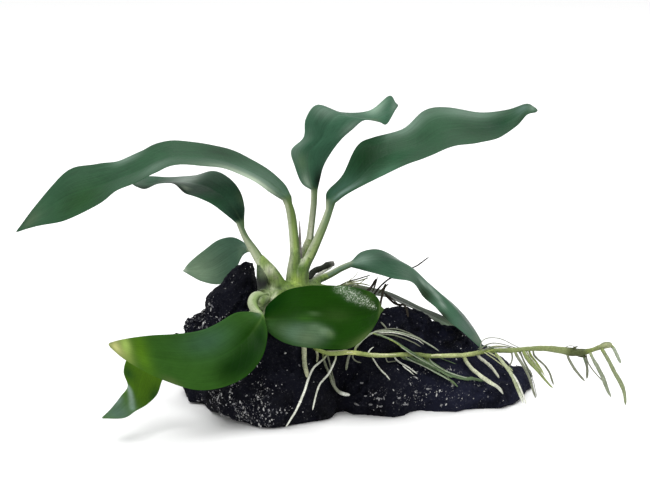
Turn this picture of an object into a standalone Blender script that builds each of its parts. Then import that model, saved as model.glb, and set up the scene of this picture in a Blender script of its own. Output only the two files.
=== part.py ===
"""Anubias growing on a black lava stone.

One rough stone carries a creeping rhizome. Ten leaves stand on the rhizome, each a blade on its own stalk,
with a papery bract, a dry stub, and roots that cling to the stone and hang past its right end.
Lengths are metres unless a name or comment says otherwise. +Z is up, and +Y points away from the viewer.
"""

import math

import bmesh
import bpy
import numpy as np
from mathutils import Matrix, Vector, noise
from mathutils.bvhtree import BVHTree

MM = 0.001

# Driving dimensions
STONE_LENGTH = 120 * MM
TOUCHING_GAP = 0.35 * MM
FACET_ALLOWANCE = 0.15 * MM
FLOOR_CLEARANCE = 0.8 * MM
BLADE_HALF_THICKNESS = 0.32 * MM
MIDRIB_DEPTH = 0.45 * MM
RIB_TAPER = 4
FULL_TROUGH_HALF_WIDTH = 8 * MM
TROUGH_FULLNESS, TROUGH_SHARPNESS = 0.7, 1.2
LEAF_SIDES = 8
# Round a blade from its far edge over the upper face: the share of its half width, and of its thickness
BLADE_ACROSS = (1, 0.58, 0, -0.58, -1, -0.58, 0, 0.58)
BLADE_LEVELS = (0, 0.8, 1, 0.8, 0, -0.8, -1, -0.8)
UPPER_FACE = np.array((0, -0.4, 0.9))
UP_SMOOTHING = 2
BLADE_ROWS_PER_STATION = 1.7
STALK_SPACING = 3 * MM
ROOT_SIDES = 6
ROOT_SPACING = 3.4 * MM
CLEARING_STEP, CLEAR_STEPS = 0.2 * MM, 12

# The front view that the outlines are read in, 650 by 482 pixels, from 0.6 m away and 15 degrees above
VIEW_COLUMNS, VIEW_ROWS = 650, 482
STONE_COLUMNS = 347
VIEW_PIXEL = STONE_LENGTH / STONE_COLUMNS
VIEW_DISTANCE = 600 * MM
VIEW_TILT = math.radians(15)
VIEW_CENTRE = Vector((-8.7, 0, 55)) * MM

# Stone
STONE_VOXEL = 1.6 * MM
STONE_TRIANGLES = 2300
SLIVER = 0.08 * MM
STONE_RELIEF = ((13.0, 1.7), (6.0, 0.95), (3.1, 0.45))  # (size of the lumps, how far they stand), mm
LEDGE_LENGTH, LEDGE_HEIGHT, LEDGE_RISE = 18, 4.5, 0.55  # mm
PIT_SIZE, PIT_DEPTH, PIT_SHARE = 5.2, 3.0, 0.22  # mm, mm, and how rare pits are
# Rounded lumps that make up the stone: centre (x, y, z), half sizes (x, y, z), lean to the right in degrees
STONE_LUMPS = (
    ((-27, -13, 7), (25, 25, 17.5), 0),
    ((-43, -1, 9), (17.5, 19, 16), 0),
    ((-47, 1, 18), (11, 13, 10), 0),
    ((-41, 2, 28), (10, 11, 14), 10),
    ((-37.5, 2, 38.5), (6.4, 8, 9.6), 12),
    ((-21, -1, 20), (14, 13, 13), 0),
    ((-9, 1, 13), (24, 21, 20), 0),
    ((14, 5, 11), (21, 19, 18), 0),
    ((34, 4, 8), (19, 15, 14.5), 0),
    ((48, 2, 4), (12, 13, 8.5), 0),
    ((57.5, 3, 2.5), (7, 9, 5.5), 0),
    ((9, -12, 4), (18, 15, 12), 0),
    ((30, -9, 3), (20, 13.5, 11), 0),
    ((49, -6, 2), (13, 12.5, 6.5), 0),
)

# Rhizome: (column, row, depth in mm, radius in mm)
RHIZOME_VOXEL = 0.75 * MM
RHIZOME_TRIANGLES = 640
RHIZOME = ((259, 304, -9, 3.0), (275, 296, -8, 4.2), (296, 294, -6, 4.6), (320, 296, -2, 4.3),
           (345, 300, 2, 3.6), (362, 305, 4, 2.4))

# Leaves. sheath and stalk: (column, row, depth in mm, radius in mm), from the rhizome to the blade.
# stations: a point on the far edge and one on the near edge, each (column, row, depth in mm), base to tip.
# trough: how far the midrib lies under the line between the edges, in mm; a ridge is negative.
LEAVES = {
    "arching_left": {
        "sheath": ((293, 290, -5, 3.0), (295, 270, -4, 2.2), (297, 255, -4, 1.7)),
        "stalk": ((297, 255, -4, 1.5), (296.5, 235, -3, 1.4), (294.5, 215, -2, 1.3), (291, 201, -0.5, 1.1)),
        "stations": (((291, 196.5, 0.5), (286.5, 198.5, -0.5)), ((283, 183, 4), (271, 193, -4)),
                     ((262, 166.5, 7), (250, 181, -9)), ((225, 149.5, 9), (218, 169, -12)),
                     ((180, 142, 9.5), (176, 166.5, -12)), ((140, 153, 8), (138, 181, -11)),
                     ((98, 164, 9), (100, 202, -10)), ((62, 176.5, 8), (64, 219, -9)),
                     ((36, 206, 3), (34, 225.5, -5)), ((19.5, 227, -2), (18, 230.5, -3.5))),
        "trough": 1.6,
    },
    "curling_left": {
        "sheath": ((280, 290, -7, 3.0), (270, 274, -8, 2.3), (264, 264, -8, 1.7)),
        "stalk": ((264, 264, -8, 1.5), (256, 250, -7, 1.3), (249, 237, -5, 0.95), (243, 225, -3.5, 0.85)),
        "stations": (((244.5, 219.5, -2), (239.5, 221.5, -4)), ((245, 207, 0), (227, 211, -6)),
                     ((240, 191, 2), (211, 200, -7)), ((229, 178, 6), (197, 197, -6)),
                     ((213, 170, 10), (186, 191, -2)), ((194, 175.5, 13), (174, 184, 2)),
                     ((170, 177.5, 15), (160, 183, 5)), ((151, 176, 16), (146, 189, 7)),
                     ((139, 177, 14), (137, 187, 9)), ((132.5, 181, 11.5), (132, 184, 10.5))),
        "trough": 1.2,
    },
    "behind_tower": {
        "sheath": ((276, 286, -5, 2.0), (268, 273, -2, 1.4), (264, 266, 1, 1.2)),
        "stalk": ((264, 266, 1, 1.1), (259, 257, 6, 1.0), (251.5, 250.5, 12, 0.9)),
        "stations": (((250, 247.5, 14), (247.5, 251, 13)), ((242, 241, 18), (242, 257, 16)),
                     ((231, 237, 21), (237, 268, 19)), ((217, 240.5, 24), (231, 279, 20)),
                     ((204, 250, 26), (218, 284.5, 20)), ((193, 259, 26), (202, 281.5, 21)),
                     ((187, 265, 26), (191, 276, 23)), ((184, 269.5, 25), (184.5, 272, 24))),
        "trough": 1.4,
    },
    "upright": {
        "sheath": ((302, 286, -1, 2.2), (305, 262, 1, 1.5), (309, 243, 2.5, 1.2)),
        "stalk": ((309, 243, 2.5, 1.1), (311, 225, 2.5, 1.0), (314, 205, 2, 0.9), (315, 192, 2, 0.9)),
        "stations": (((312.5, 189, 2), (317.5, 188, 2.5)), ((302, 182, 0), (319.5, 180, 4)),
                     ((295, 165, -3), (323.5, 165, 6)), ((291.5, 150, -4), (331, 151, 7)),
                     ((304, 137, 2), (341, 138, 7)), ((305.5, 119, 4), (351, 128.5, 7)),
                     ((316, 104, 9), (361, 120.5, 7)), ((341, 112, 15), (371, 118.5, 6)),
                     ((369, 110.5, 18), (379, 121, 7)), ((389, 95, 20), (386.5, 123, 11)),
                     ((396, 103, 19), (395.5, 110, 17))),
        "trough": 1.1,
    },
    "long_right": {
        "sheath": ((301, 288, -5, 2.9), (303, 270, -5, 2.2), (310, 256, -4, 1.7)),
        "stalk": ((310, 256, -4, 1.5), (317, 241, -4, 1.3), (325, 222, -3.5, 1.15), (330.5, 206, -3, 1.05)),
        "stations": (((327.5, 201, -2.5), (334.5, 202, -3.5)), ((328, 191, 0), (346, 192, -7)),
                     ((343, 174, 3), (367, 181.5, -10)), ((357, 147, 6), (388, 172, -11)),
                     ((374, 137, 8), (411, 162.5, -11)), ((403, 129, 9), (436, 153.5, -10)),
                     ((424, 110.5, 11), (457, 145.5, -9)), ((447, 107, 11), (479, 142.5, -9)),
                     ((478, 112, 9), (500, 135.5, -8)), ((506, 110, 6), (516, 124, -6)),
                     ((526, 104, 2), (526, 113.5, -3)), ((535.5, 108, -1), (534, 112.5, -2))),
        "trough": 1.8,
    },
    "drooping_right": {
        "sheath": ((310, 288, -3, 2.5), (317, 281, 1, 1.6), (323, 277.5, 3, 1.3)),
        "stalk": ((323, 277.5, 3, 1.15), (332, 271.5, 5, 1.1), (340, 267, 7, 1.0), (348, 264.5, 8.5, 1.0)),
        "stations": (((351, 261.5, 9.5), (351, 267, 8)), ((362, 251.5, 13), (369, 272, 4)),
                     ((380, 249.5, 16), (391, 278, 2)), ((402, 261.5, 17), (411, 282.5, 1)),
                     ((424, 279.5, 16), (424, 297.5, -1)), ((443, 295.5, 13), (437, 309, -3)),
                     ((458, 310, 9), (449, 321, -5)), ((469, 325.5, 3), (464, 333, -6)),
                     ((478.5, 342, -5), (477, 346, -7))),
        "trough": -2.4,
    },
    "front_right": {
        "sheath": ((281, 294, -9, 2.4), (276, 299, -14, 1.6)),
        "stalk": ((276, 299, -14, 1.3), (270, 306, -15, 1.2), (265, 314, -17.5, 1.1),
                  (263.5, 318.5, -21.5, 0.9)),
        "stations": (((264.5, 317, -22.5), (265, 321.5, -24)), ((267.5, 305, -20.5), (268.5, 332, -28.5)),
                     ((284, 291.5, -20), (284, 342.5, -36)), ((306, 286, -22), (306, 347.5, -41)),
                     ((330, 285.5, -27), (332, 350, -46)), ((352, 290.5, -33), (354, 348.5, -50)),
                     ((370, 301, -40), (371, 336, -51)), ((380.5, 312, -48), (381, 317, -50))),
        "trough": 1.6,
    },
    "front_left": {
        "sheath": ((268, 297, -10, 2.6), (261, 296, -16, 2.1)),
        "stalk": ((261, 296, -16, 1.9), (252, 298, -18.5, 1.9), (250.5, 305, -21, 1.7), (256, 312, -24, 1.4),
                  (261, 314.5, -27, 1.0)),
        "stations": (((260, 313.5, -29), (265, 319.5, -31)), ((249, 311.5, -30), (267.5, 335, -35.5)),
                     ((235, 313, -31), (264, 358, -40)), ((218, 323, -35), (248, 377, -45)),
                     ((200, 331, -39), (222, 387.5, -49)), ((178, 335.5, -43), (196, 390, -52)),
                     ((155, 337, -47), (170, 382, -54)), ((135, 339, -51), (145, 371, -56)),
                     ((119, 342, -54), (125, 357.5, -58)), ((111, 344, -58), (111.5, 347, -59))),
        "trough": 1.4,
    },
    "twisted_low": {
        "sheath": ((262, 303, -10, 2.4), (256, 310, -13, 1.5)),
        "stalk": ((256, 310, -13, 1.2), (240, 325, -24, 1.1), (215, 342, -36, 1.0), (190, 348, -38, 0.9),
                  (173, 351, -40, 0.9)),
        "stations": (((170, 349, -40), (171, 354, -40)), ((150, 350, -41), (168, 368, -39.5)),
                     ((130, 356, -42), (161, 380, -40)), ((124, 371, -43), (156, 393, -41)),
                     ((128, 386, -43), (146, 403, -43)), ((121, 397, -45), (136, 409.5, -48)),
                     ((111, 408.5, -48), (124, 418, -52)), ((102.5, 417, -50), (103, 418.5, -50.5))),
        "trough": 0.8,
    },
    "edge_on_right": {
        "sheath": ((325, 291, 0, 2.2), (335, 289, 6, 1.3)),
        "stalk": ((335, 289, 6, 1.0), (339, 287.5, 8, 0.9), (343, 287, 9.5, 0.9)),
        "stations": (((346, 285, 12), (346, 288.5, 10)), ((362, 286, 20), (364, 290, 12)),
                     ((385, 291, 26), (386, 295, 14)), ((405, 299, 28), (405, 303.5, 16)),
                     ((425, 309, 29), (424, 313.5, 18)), ((445, 320.5, 28), (443, 325, 20)),
                     ((461, 332, 26), (459, 334.5, 21)), ((469, 338.5, 23.5), (468.5, 340, 22.5))),
        "trough": 0.6,
    },
}

# Bract and dry stub: (column, row, depth in mm, radius in mm)
BRACT = ((300.5, 264, -2, 0.6), (300, 252, -1, 0.55), (300, 236, 0.2, 0.4), (299.5, 221, 0.5, 0.25))
DRY_STUB = ((313, 280, 4, 0.7), (314, 271.5, 8, 0.9), (321, 268.5, 10, 1.0), (328, 265, 12, 1.1),
            (333.5, 263.5, 13, 0.9))

# Roots. A point is (column, row) where the root lies on the stone, or (column, row, depth in mm) where it is free.
# radius: in mm, at places spread evenly from its start to its tip; lift: how far it stands off the stone, mm.
ROOTS = {
    "stub_left": {"points": ((302.5, 343), (304, 360), (305.5, 372.5)), "radius": (0.95, 0.7), "lift": 0},
    "hanging_long": {"points": ((328, 356), (317, 364), (312, 370), (308.5, 379), (305, 390), (301, 400),
                                (294.5, 413), (286, 427, -38)),
                     "radius": (0.55, 0.65, 0.7, 0.45), "lift": 1.6},
    "hanging_left_arm": {"points": ((316.5, 350), (318.5, 355),
                                    (317.5, 361)), "radius": (0.6, 0.55), "lift": 0.8},
    "hanging_short": {"points": ((337, 357), (333.5, 364), (328, 375), (321, 382), (317, 390), (312.5, 410)),
                      "radius": (0.45, 0.6, 0.45, 0.35), "lift": 2.2},
    "hanging_pale": {"points": ((323, 358), (327, 369), (331, 379), (335, 390), (341, 393.5), (350, 395)),
                     "radius": (0.5, 0.6, 0.7, 0.85), "lift": 0},
    "stub_middle": {"points": ((348, 355), (347, 361), (346, 370)), "radius": (0.5, 0.7), "lift": 0},
    "arc_far": {"points": ((353, 350), (362, 341), (373, 332.5), (392, 331), (412, 336), (425, 342),
                           (439, 351)),
                "radius": (0.65, 0.6, 0.5, 0.35), "lift": 0.3},
    "arc_near": {"points": ((380, 336.5), (388, 338), (398, 343),
                            (405, 349.5)), "radius": (0.5, 0.5), "lift": 1.2},
    "slant_middle": {"points": ((372, 357), (378, 366), (384, 374),
                                (390, 380)), "radius": (0.5, 0.35), "lift": 0},
    "fork_middle": {"points": ((393, 357.5), (400, 363.5), (409, 367),
                               (417, 374)), "radius": (0.5, 0.35), "lift": 0},
    "green_long": {"points": ((424, 357.5), (432, 363.5), (441, 370), (451, 375), (463, 378.5), (475, 380),
                              (486, 380)),
                   "radius": (0.9, 0.9, 0.6), "lift": 0.1},
    "green_under": {"points": ((399, 356.5), (410, 360), (421, 363.5), (432, 370), (441, 375.5), (450, 379),
                               (458, 387)),
                    "radius": (0.55, 0.6, 0.4), "lift": 0.6},
    "comb_1": {"points": ((463, 358), (470, 367), (479, 374.5, -19), (490, 383, -20), (500, 387, -20),
                          (503, 394, -20)),
               "radius": (0.8, 0.6, 0.65, 0.4), "lift": 1.4},
    "comb_2": {"points": ((476, 356), (485, 361.5), (493, 368.5), (499, 378)), "radius": (0.6, 0.6, 0.4),
               "lift": 1.0},
    "comb_3": {"points": ((495, 353, -17), (501, 360, -18), (509, 370, -19), (515, 380, -19), (519, 391, -19),
                          (523, 403, -18)),
               "radius": (0.6, 0.6, 0.7, 0.4), "lift": 0.3},
    "comb_4": {"points": ((515, 354, -16), (524, 366, -19), (530, 379, -20), (535.5, 398, -20)),
               "radius": (0.55, 0.5, 0.3), "lift": 0.3},
    "comb_5": {"points": ((523, 353, -16), (530, 362, -17), (541, 374, -17), (546, 382, -17),
                          (553, 388, -17)),
               "radius": (0.7, 0.7, 0.4, 0.35), "lift": 0.3},
    "comb_6": {"points": ((532, 353, -13), (537, 359, -11), (545, 365, -10), (550, 373, -11),
                          (553.5, 385, -13)),
               "radius": (0.35, 0.35), "lift": 0.3},
    "comb_7": {"points": ((566, 355, -13), (571, 363, -14), (577, 373, -15), (585, 381, -15)),
               "radius": (0.45, 0.4), "lift": 0.3},
    "comb_8": {"points": ((584, 358, -11), (588, 366, -10), (588, 373, -11), (587, 379, -12)),
               "radius": (0.5, 0.45), "lift": 0.3},
    "comb_9": {"points": ((590, 354, -14), (596, 364, -15), (602, 374, -16), (606, 387, -16),
                          (611, 397, -16)),
               "radius": (0.45, 0.55, 0.6, 0.3), "lift": 0.3},
    "comb_10": {"points": ((603, 351, -14), (608, 359, -15), (613, 370, -16), (620, 381, -17),
                           (625, 392, -18),
                           (625.5, 405, -18)),
                "radius": (0.75, 0.7, 0.75, 0.35), "lift": 0.3},
    "comb_11": {"points": ((612.5, 348, -13), (616.5, 354, -12), (620.5, 363, -11)), "radius": (0.5, 0.35),
                "lift": 0.3},
    "back_pale": {"points": ((311, 281, 8), (321, 273, 12),
                             (331, 266.5, 16)), "radius": (0.5, 0.35), "lift": 0.3},
    "back_upright": {"points": ((357, 296, 6), (366, 292, 6.5), (372.5, 287, 7), (376, 279, 7.5)),
                     "radius": (0.4, 0.3), "lift": 0.3},
    "back_drop": {"points": ((386, 284, 8), (383.5, 290, 5), (381.5, 298, 4),
                             (379.5, 314)), "radius": (0.45, 0.3),
                  "lift": 0.4},
    "back_run": {"points": ((384.5, 293, 7), (391, 301, 8), (400, 308.5, 8),
                            (408, 317)), "radius": (0.4, 0.35),
                 "lift": 0.6},
    "stray": {"points": ((367, 303, 8), (377, 290, 9), (388, 279, 12), (398, 275, 18), (409, 269, 22),
                         (419, 265, 24), (429, 257, 24)),
              "radius": (0.45, 0.3), "lift": 0.3},
}
RUNNER = {
    "points": ((325, 353), (335, 354.5), (350, 352), (366, 354.5), (385, 355.5), (405, 354.5), (418, 354.5),
               (430, 356.5), (445, 355.5), (462, 355.5), (474, 353.5), (484, 351), (500, 350.5, -15),
               (520, 350, -15), (540, 348, -14), (560, 350, -13), (573, 352.5, -12.5), (583, 353.5, -12.5),
               (591, 350.5, -12.5), (600, 347, -12.5), (606, 344, -12.5), (612, 345.5, -12.5)),
    "radius": (0.8, 0.85, 0.85, 0.85, 0.85, 0.85, 0.85, 0.85, 0.9, 0.9, 0.9, 0.85, 1.1, 1.45, 0.75, 0.95),
    "lift": 1.8,
}
LOOSE_STARTS = ("stub_left", "arc_near", "back_drop", "back_run")
DRY_ROOTS = ("back_upright", "back_drop", "back_run", "stray")
CROWN_ROOTS = ("back_pale", "back_upright", "stray")

# Colours (linear red, green, blue) and roughness of each material
FINISHES = {
    "black_lava": ((0.012, 0.011, 0.016), 0.9),
    "leaf_green": ((0.035, 0.115, 0.045), 0.35),
    "leaf_bright_green": ((0.045, 0.14, 0.02), 0.3),
    "bract_brown": ((0.16, 0.13, 0.12), 0.6),
    "rhizome_green": ((0.3, 0.4, 0.12), 0.5),
    "root_cream": ((0.45, 0.47, 0.26), 0.55),
    "dry_brown": ((0.05, 0.045, 0.035), 0.7),
}
BRIGHT_LEAVES = ("front_left", "front_right", "twisted_low")


def clear_scene():
    for item in list(bpy.data.objects):
        bpy.data.objects.remove(item, do_unlink=True)


def collection(name):
    made = bpy.data.collections.new(name)
    bpy.context.scene.collection.children.link(made)
    return made


def material(name):
    """Each object's own material, with the colour and roughness of that finish."""
    colour, roughness = FINISHES[name]
    made = bpy.data.materials.new(name)
    made.use_nodes = True
    shader = made.node_tree.nodes["Principled BSDF"]
    shader.inputs["Base Color"].default_value = (*colour, 1)
    shader.inputs["Roughness"].default_value = roughness
    shader.inputs["Metallic"].default_value = 0
    return made


def sight_line(column, row):
    """Where the view's eye is, and the way from it to that pixel."""
    forward = Vector((0, math.cos(VIEW_TILT), -math.sin(VIEW_TILT)))
    upward = Vector((0, math.sin(VIEW_TILT), math.cos(VIEW_TILT)))
    eye = VIEW_CENTRE - forward * VIEW_DISTANCE
    across = (column - VIEW_COLUMNS / 2) * VIEW_PIXEL
    rise = (VIEW_ROWS / 2 - row) * VIEW_PIXEL
    return eye, VIEW_CENTRE + Vector((across, 0, 0)) + upward * rise - eye


def seen(column, row, depth):
    """The point that the view shows at that pixel, depth mm behind the stone's middle."""
    eye, way = sight_line(column, row)
    return eye + way * ((depth * MM - eye.y) / way.y)


def smooth_curve(points, samples):
    """Samples of the Catmull-Rom curve through the points (rows of any number of values)."""
    at = np.array(points, float)
    at = np.vstack([2 * at[0] - at[1], at, 2 * at[-1] - at[-2]])
    where = np.linspace(0, len(points) - 1, samples)
    first = np.minimum(where.astype(int), len(points) - 2)
    t = (where - first)[:, None]
    a, b, c, d = (at[first + k] for k in range(4))
    bend, twist = 2 * a - 5 * b + 4 * c - d, 3 * b - a - 3 * c + d
    return (2 * b + (c - a) * t + bend * t ** 2 + twist * t ** 3) / 2


def evenly(path, spacing):
    """The path with its points spread evenly, about that far apart."""
    steps = np.linalg.norm(np.diff(path[:, :3], axis=0), axis=1)
    along = np.concatenate([[0], np.cumsum(steps)])
    at = np.linspace(0, along[-1], max(3, round(along[-1] / spacing) + 1))
    return np.stack([np.interp(at, along, values) for values in path.T], axis=1)


def seen_path(points, samples=40):
    """(x, y, z, radius) samples, in metres, of the curve through (column, row, depth, radius) points."""
    placed = [(*seen(column, row, depth), radius * MM) for column, row, depth, radius in points]
    return smooth_curve(placed, samples)


def unit(vector):
    return vector / np.linalg.norm(vector)


def carried_frames(path, across):
    """A pair of directions across the path at each of its points, carried along from the given first one."""
    pairs = []
    for forward in np.gradient(path[:, :3], axis=0):
        forward = unit(forward)
        across = unit(across - forward * (across @ forward))
        pairs.append((across, np.cross(forward, across)))
    return pairs


def clear_start(path, surface, spacing):
    """The path from where a tube along it stands free of the surface."""
    fine = evenly(path, CLEARING_STEP)
    angles = np.radians(range(0, 360, 45))
    free = []
    for point, (across, up) in zip(fine, carried_frames(fine, UPPER_FACE)):
        ring = [point[:3] + point[3] * (across * math.cos(a) + up * math.sin(a)) for a in angles]
        free.append(all(stands_free(Vector(place), surface) for place in ring + [point[:3]]))
    start = next(k for k in range(len(fine)) if all(free[k:k + CLEAR_STEPS]))
    return evenly(fine[start:], spacing)


def stands_free(point, surface):
    near, normal, _, distance = surface.find_nearest(point)
    return distance >= TOUCHING_GAP + FACET_ALLOWANCE and (point - near).dot(normal) > 0


def surface_of(item):
    return BVHTree.FromObject(item, bpy.context.evaluated_depsgraph_get())


def tube(name, path, look, home):
    """A round tube along (x, y, z, radius) points, with flat ends."""
    curve = bpy.data.curves.new(name, "CURVE")
    curve.dimensions = "3D"
    curve.bevel_depth = MM
    curve.bevel_resolution = (ROOT_SIDES - 4) // 2
    curve.use_fill_caps = True
    spline = curve.splines.new("POLY")
    spline.points.add(len(path) - 1)
    for point, (x, y, z, radius) in zip(spline.points, path):
        point.co = (x, y, z, 1)
        point.radius = radius / MM
    made = bpy.data.objects.new(name, curve)
    curve.materials.append(material(look))
    home.objects.link(made)
    bpy.context.view_layer.update()
    return made


def mesh_object(name, mesh, look, home):
    mesh.materials.clear()
    mesh.materials.append(material(look))
    made = bpy.data.objects.new(name, mesh)
    home.objects.link(made)
    return made


def evaluated_mesh(item):
    """The object's mesh with its modifiers applied, in world space."""
    graph = bpy.context.evaluated_depsgraph_get()
    mesh = bpy.data.meshes.new_from_object(item.evaluated_get(graph))
    mesh.transform(item.matrix_world)
    return mesh


def apply_modifiers(item):
    item.data = evaluated_mesh(item)
    item.matrix_world = Matrix.Identity(4)
    item.modifiers.clear()


def remesh(item, voxel):
    modifier = item.modifiers.new("remesh", "REMESH")
    modifier.mode = "VOXEL"
    modifier.voxel_size = voxel
    apply_modifiers(item)


def decimate(item, triangles):
    item.data.calc_loop_triangles()
    modifier = item.modifiers.new("decimate", "DECIMATE")
    modifier.ratio = min(1, triangles / len(item.data.loop_triangles))
    modifier.use_collapse_triangulate = True
    apply_modifiers(item)


def cut(item, cutter):
    modifier = item.modifiers.new("cut", "BOOLEAN")
    modifier.operation = "DIFFERENCE"
    modifier.object = cutter
    apply_modifiers(item)


def set_aside(item, home):
    """Marks a cutter, which isn't part of the object."""
    item.hide_render = True
    item.display_type = "WIRE"
    for owner in list(item.users_collection):
        owner.objects.unlink(item)
    home.objects.link(item)


def relief_at(point):
    """How far the stone's surface stands out at a point: lumps of several sizes, ledges and pits."""
    height = 0
    for size, rise in STONE_RELIEF:
        height += rise * noise.noise(point / (size * MM)) * 1.4
    flat = Vector((point.x / LEDGE_LENGTH, point.y / LEDGE_LENGTH, point.z / LEDGE_HEIGHT)) / MM
    pit = max(0, noise.noise(point / (PIT_SIZE * MM) + Vector((7, 3, 1))) - PIT_SHARE)
    return (height + noise.noise(flat) * LEDGE_RISE - PIT_DEPTH * pit) * MM


def build_stone(home):
    """The stone: rounded lumps fused, roughened, and thinned to flat facets."""
    shape = bmesh.new()
    for centre, half_sizes, lean in STONE_LUMPS:
        place = (Matrix.Translation(Vector(centre) * MM) @ Matrix.Rotation(math.radians(lean), 4, "Y")
                 @ Matrix.Diagonal((*(Vector(half_sizes) * MM), 1)))
        bmesh.ops.create_icosphere(shape, subdivisions=3, radius=1, matrix=place)
    mesh = bpy.data.meshes.new("stone")
    shape.to_mesh(mesh)
    shape.free()
    stone = mesh_object("stone", mesh, "black_lava", home)
    remesh(stone, STONE_VOXEL)
    normals = [vertex.normal.copy() for vertex in stone.data.vertices]
    for vertex, normal in zip(stone.data.vertices, normals):
        vertex.co += normal * relief_at(vertex.co)
    decimate(stone, STONE_TRIANGLES)
    return stone


def clear_slivers(item):
    """Closes up the needle-thin triangles that cuts leave."""
    shape = bmesh.new()
    shape.from_mesh(item.data)
    bmesh.ops.dissolve_degenerate(shape, dist=SLIVER, edges=shape.edges)
    bmesh.ops.triangulate(shape, faces=shape.faces)
    shape.to_mesh(item.data)
    shape.free()


def floor_cutter(home):
    """A block whose top is the surface that the stone stands on."""
    bpy.ops.mesh.primitive_cube_add(size=1)
    block = bpy.context.object
    block.name = "floor_cutter"
    block.dimensions = (0.4, 0.4, 0.06)
    block.location = (0, 0, -0.03)
    bpy.context.view_layer.update()
    apply_modifiers(block)
    set_aside(block, home)
    return block


def fused_tubes(name, paths, extra, look, home):
    """Several tubes made one solid, each that much thicker than its path says."""
    merged = bmesh.new()
    for path in paths:
        fatter = path.copy()
        fatter[:, 3] += extra
        part = tube("part_of_" + name, fatter, look, home)
        merged.from_mesh(evaluated_mesh(part))
        bpy.data.objects.remove(part, do_unlink=True)
    bmesh.ops.remove_doubles(merged, verts=merged.verts, dist=0.00001)
    mesh = bpy.data.meshes.new(name)
    merged.to_mesh(mesh)
    merged.free()
    made = mesh_object(name, mesh, look, home)
    remesh(made, RHIZOME_VOXEL)
    decimate(made, RHIZOME_TRIANGLES)
    return made


def rhizome_paths():
    """The rhizome and the leaf sheaths that rise from it."""
    return [seen_path(RHIZOME)] + [seen_path(leaf["sheath"], 16) for leaf in LEAVES.values()]


def stalk_rings(path, across, upward):
    """Rings round a stalk from its foot to the blade, where their first two directions are those given."""
    frames = carried_frames(path[::-1], across)[::-1]
    turn = math.copysign(1, frames[-1][1] @ upward)
    angles = 2 * math.pi * np.arange(LEAF_SIDES) / LEAF_SIDES
    rings = []
    for (x, y, z, radius), (side, up) in zip(path, frames):
        rings.append([(x, y, z) + radius * (side * math.cos(a) + turn * up * math.sin(a)) for a in angles])
    return rings


def blade_rings(leaf, stalk_radius):
    """Rings round a blade from base to tip: thin at the edges, thicker at the midrib, and dished."""
    rows = round(BLADE_ROWS_PER_STATION * len(leaf["stations"]))
    far = smooth_curve([seen(*pair[0]) for pair in leaf["stations"]], rows)
    near = smooth_curve([seen(*pair[1]) for pair in leaf["stations"]], rows)
    middle = (far + near) / 2
    up = np.cross(np.gradient(middle, axis=0), far - near)
    up /= np.linalg.norm(up, axis=1)[:, None] * math.copysign(1, up[rows // 2] @ UPPER_FACE)
    for _ in range(UP_SMOOTHING):
        up[1:-1] = (up[:-2] + 2 * up[1:-1] + up[2:]) / 4
    rings = []
    for k, share in enumerate(np.linspace(0, 1, rows)):
        half_width = np.linalg.norm(far[k] - near[k]) / 2
        edge = min(BLADE_HALF_THICKNESS, half_width * 0.7)
        rib = (stalk_radius - edge) * max(0, 1 - RIB_TAPER * share)
        rib += MIDRIB_DEPTH * min(1 - share, RIB_TAPER * share)
        trough = leaf["trough"] * MM * min(1, half_width / FULL_TROUGH_HALF_WIDTH)
        trough *= math.sin(math.pi * min(max(share, 0.03), 0.97)) ** TROUGH_FULLNESS
        ring = []
        for across, level in zip(BLADE_ACROSS, BLADE_LEVELS):
            height = level * (edge + rib if level == -1 else edge)
            height -= trough * (1 - abs(across)) ** TROUGH_SHARPNESS
            ring.append(middle[k] + (far[k] - near[k]) / 2 * across + up[k] * height)
        rings.append(ring)
    return rings, far[0] - near[0], up[0]


def loft(name, rings, look, home):
    """One closed skin over rings of as many points each. Its upper and lower face are split alike."""
    sides = len(rings[0])
    last = (len(rings) - 1) * sides
    faces = [tuple(range(sides)), tuple(range(last, last + sides))]
    for row in range(len(rings) - 1):
        for k in range(sides):
            a, b = row * sides + k, row * sides + (k + 1) % sides
            c, d = a + sides, b + sides
            faces += [(a, b, d), (a, d, c)] if k < sides / 2 else [(a, b, c), (b, d, c)]
    mesh = bpy.data.meshes.new(name)
    mesh.from_pydata([tuple(point) for ring in rings for point in ring], [], faces)
    skin = bmesh.new()
    skin.from_mesh(mesh)
    bmesh.ops.recalc_face_normals(skin, faces=skin.faces)
    skin.to_mesh(mesh)
    skin.free()
    mesh.shade_smooth()
    return mesh_object(name, mesh, look, home)


def build_leaves(crown, home):
    for name, leaf in LEAVES.items():
        stalk = clear_start(seen_path(leaf["stalk"]), crown, STALK_SPACING)
        blade, across, upward = blade_rings(leaf, stalk[-1, 3])
        look = "leaf_bright_green" if name in BRIGHT_LEAVES else "leaf_green"
        loft("leaf_" + name, stalk_rings(stalk, across, upward) + blade, look, home)


def on_stone(column, row, stand_off, surface):
    """The point in front of the stone's surface that the view shows at that pixel."""
    eye, way = sight_line(column, row)
    hit, _, _, _ = surface.ray_cast(eye, way.normalized())
    if hit is None:
        raise ValueError(f"the stone isn't seen at {column}, {row}")
    return hit - way.normalized() * stand_off


def pushed_clear(path, surface):
    """The path moved out to where it stands clear of the stone and the floor."""
    moved = path.copy()
    for turn in range(7):
        if turn:
            moved[1:-1, :3] = (moved[:-2, :3] + 2 * moved[1:-1, :3] + moved[2:, :3]) / 4
        for k, (x, y, z, radius) in enumerate(moved):
            point = Vector((x, y, z))
            near, normal, _, distance = surface.find_nearest(point)
            wanted = radius + TOUCHING_GAP + FACET_ALLOWANCE
            if distance < wanted or (point - near).dot(normal) < 0:
                moved[k, :3] = near + normal * wanted
            moved[k, 2] = max(moved[k, 2], radius + FLOOR_CLEARANCE)
    return moved


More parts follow.
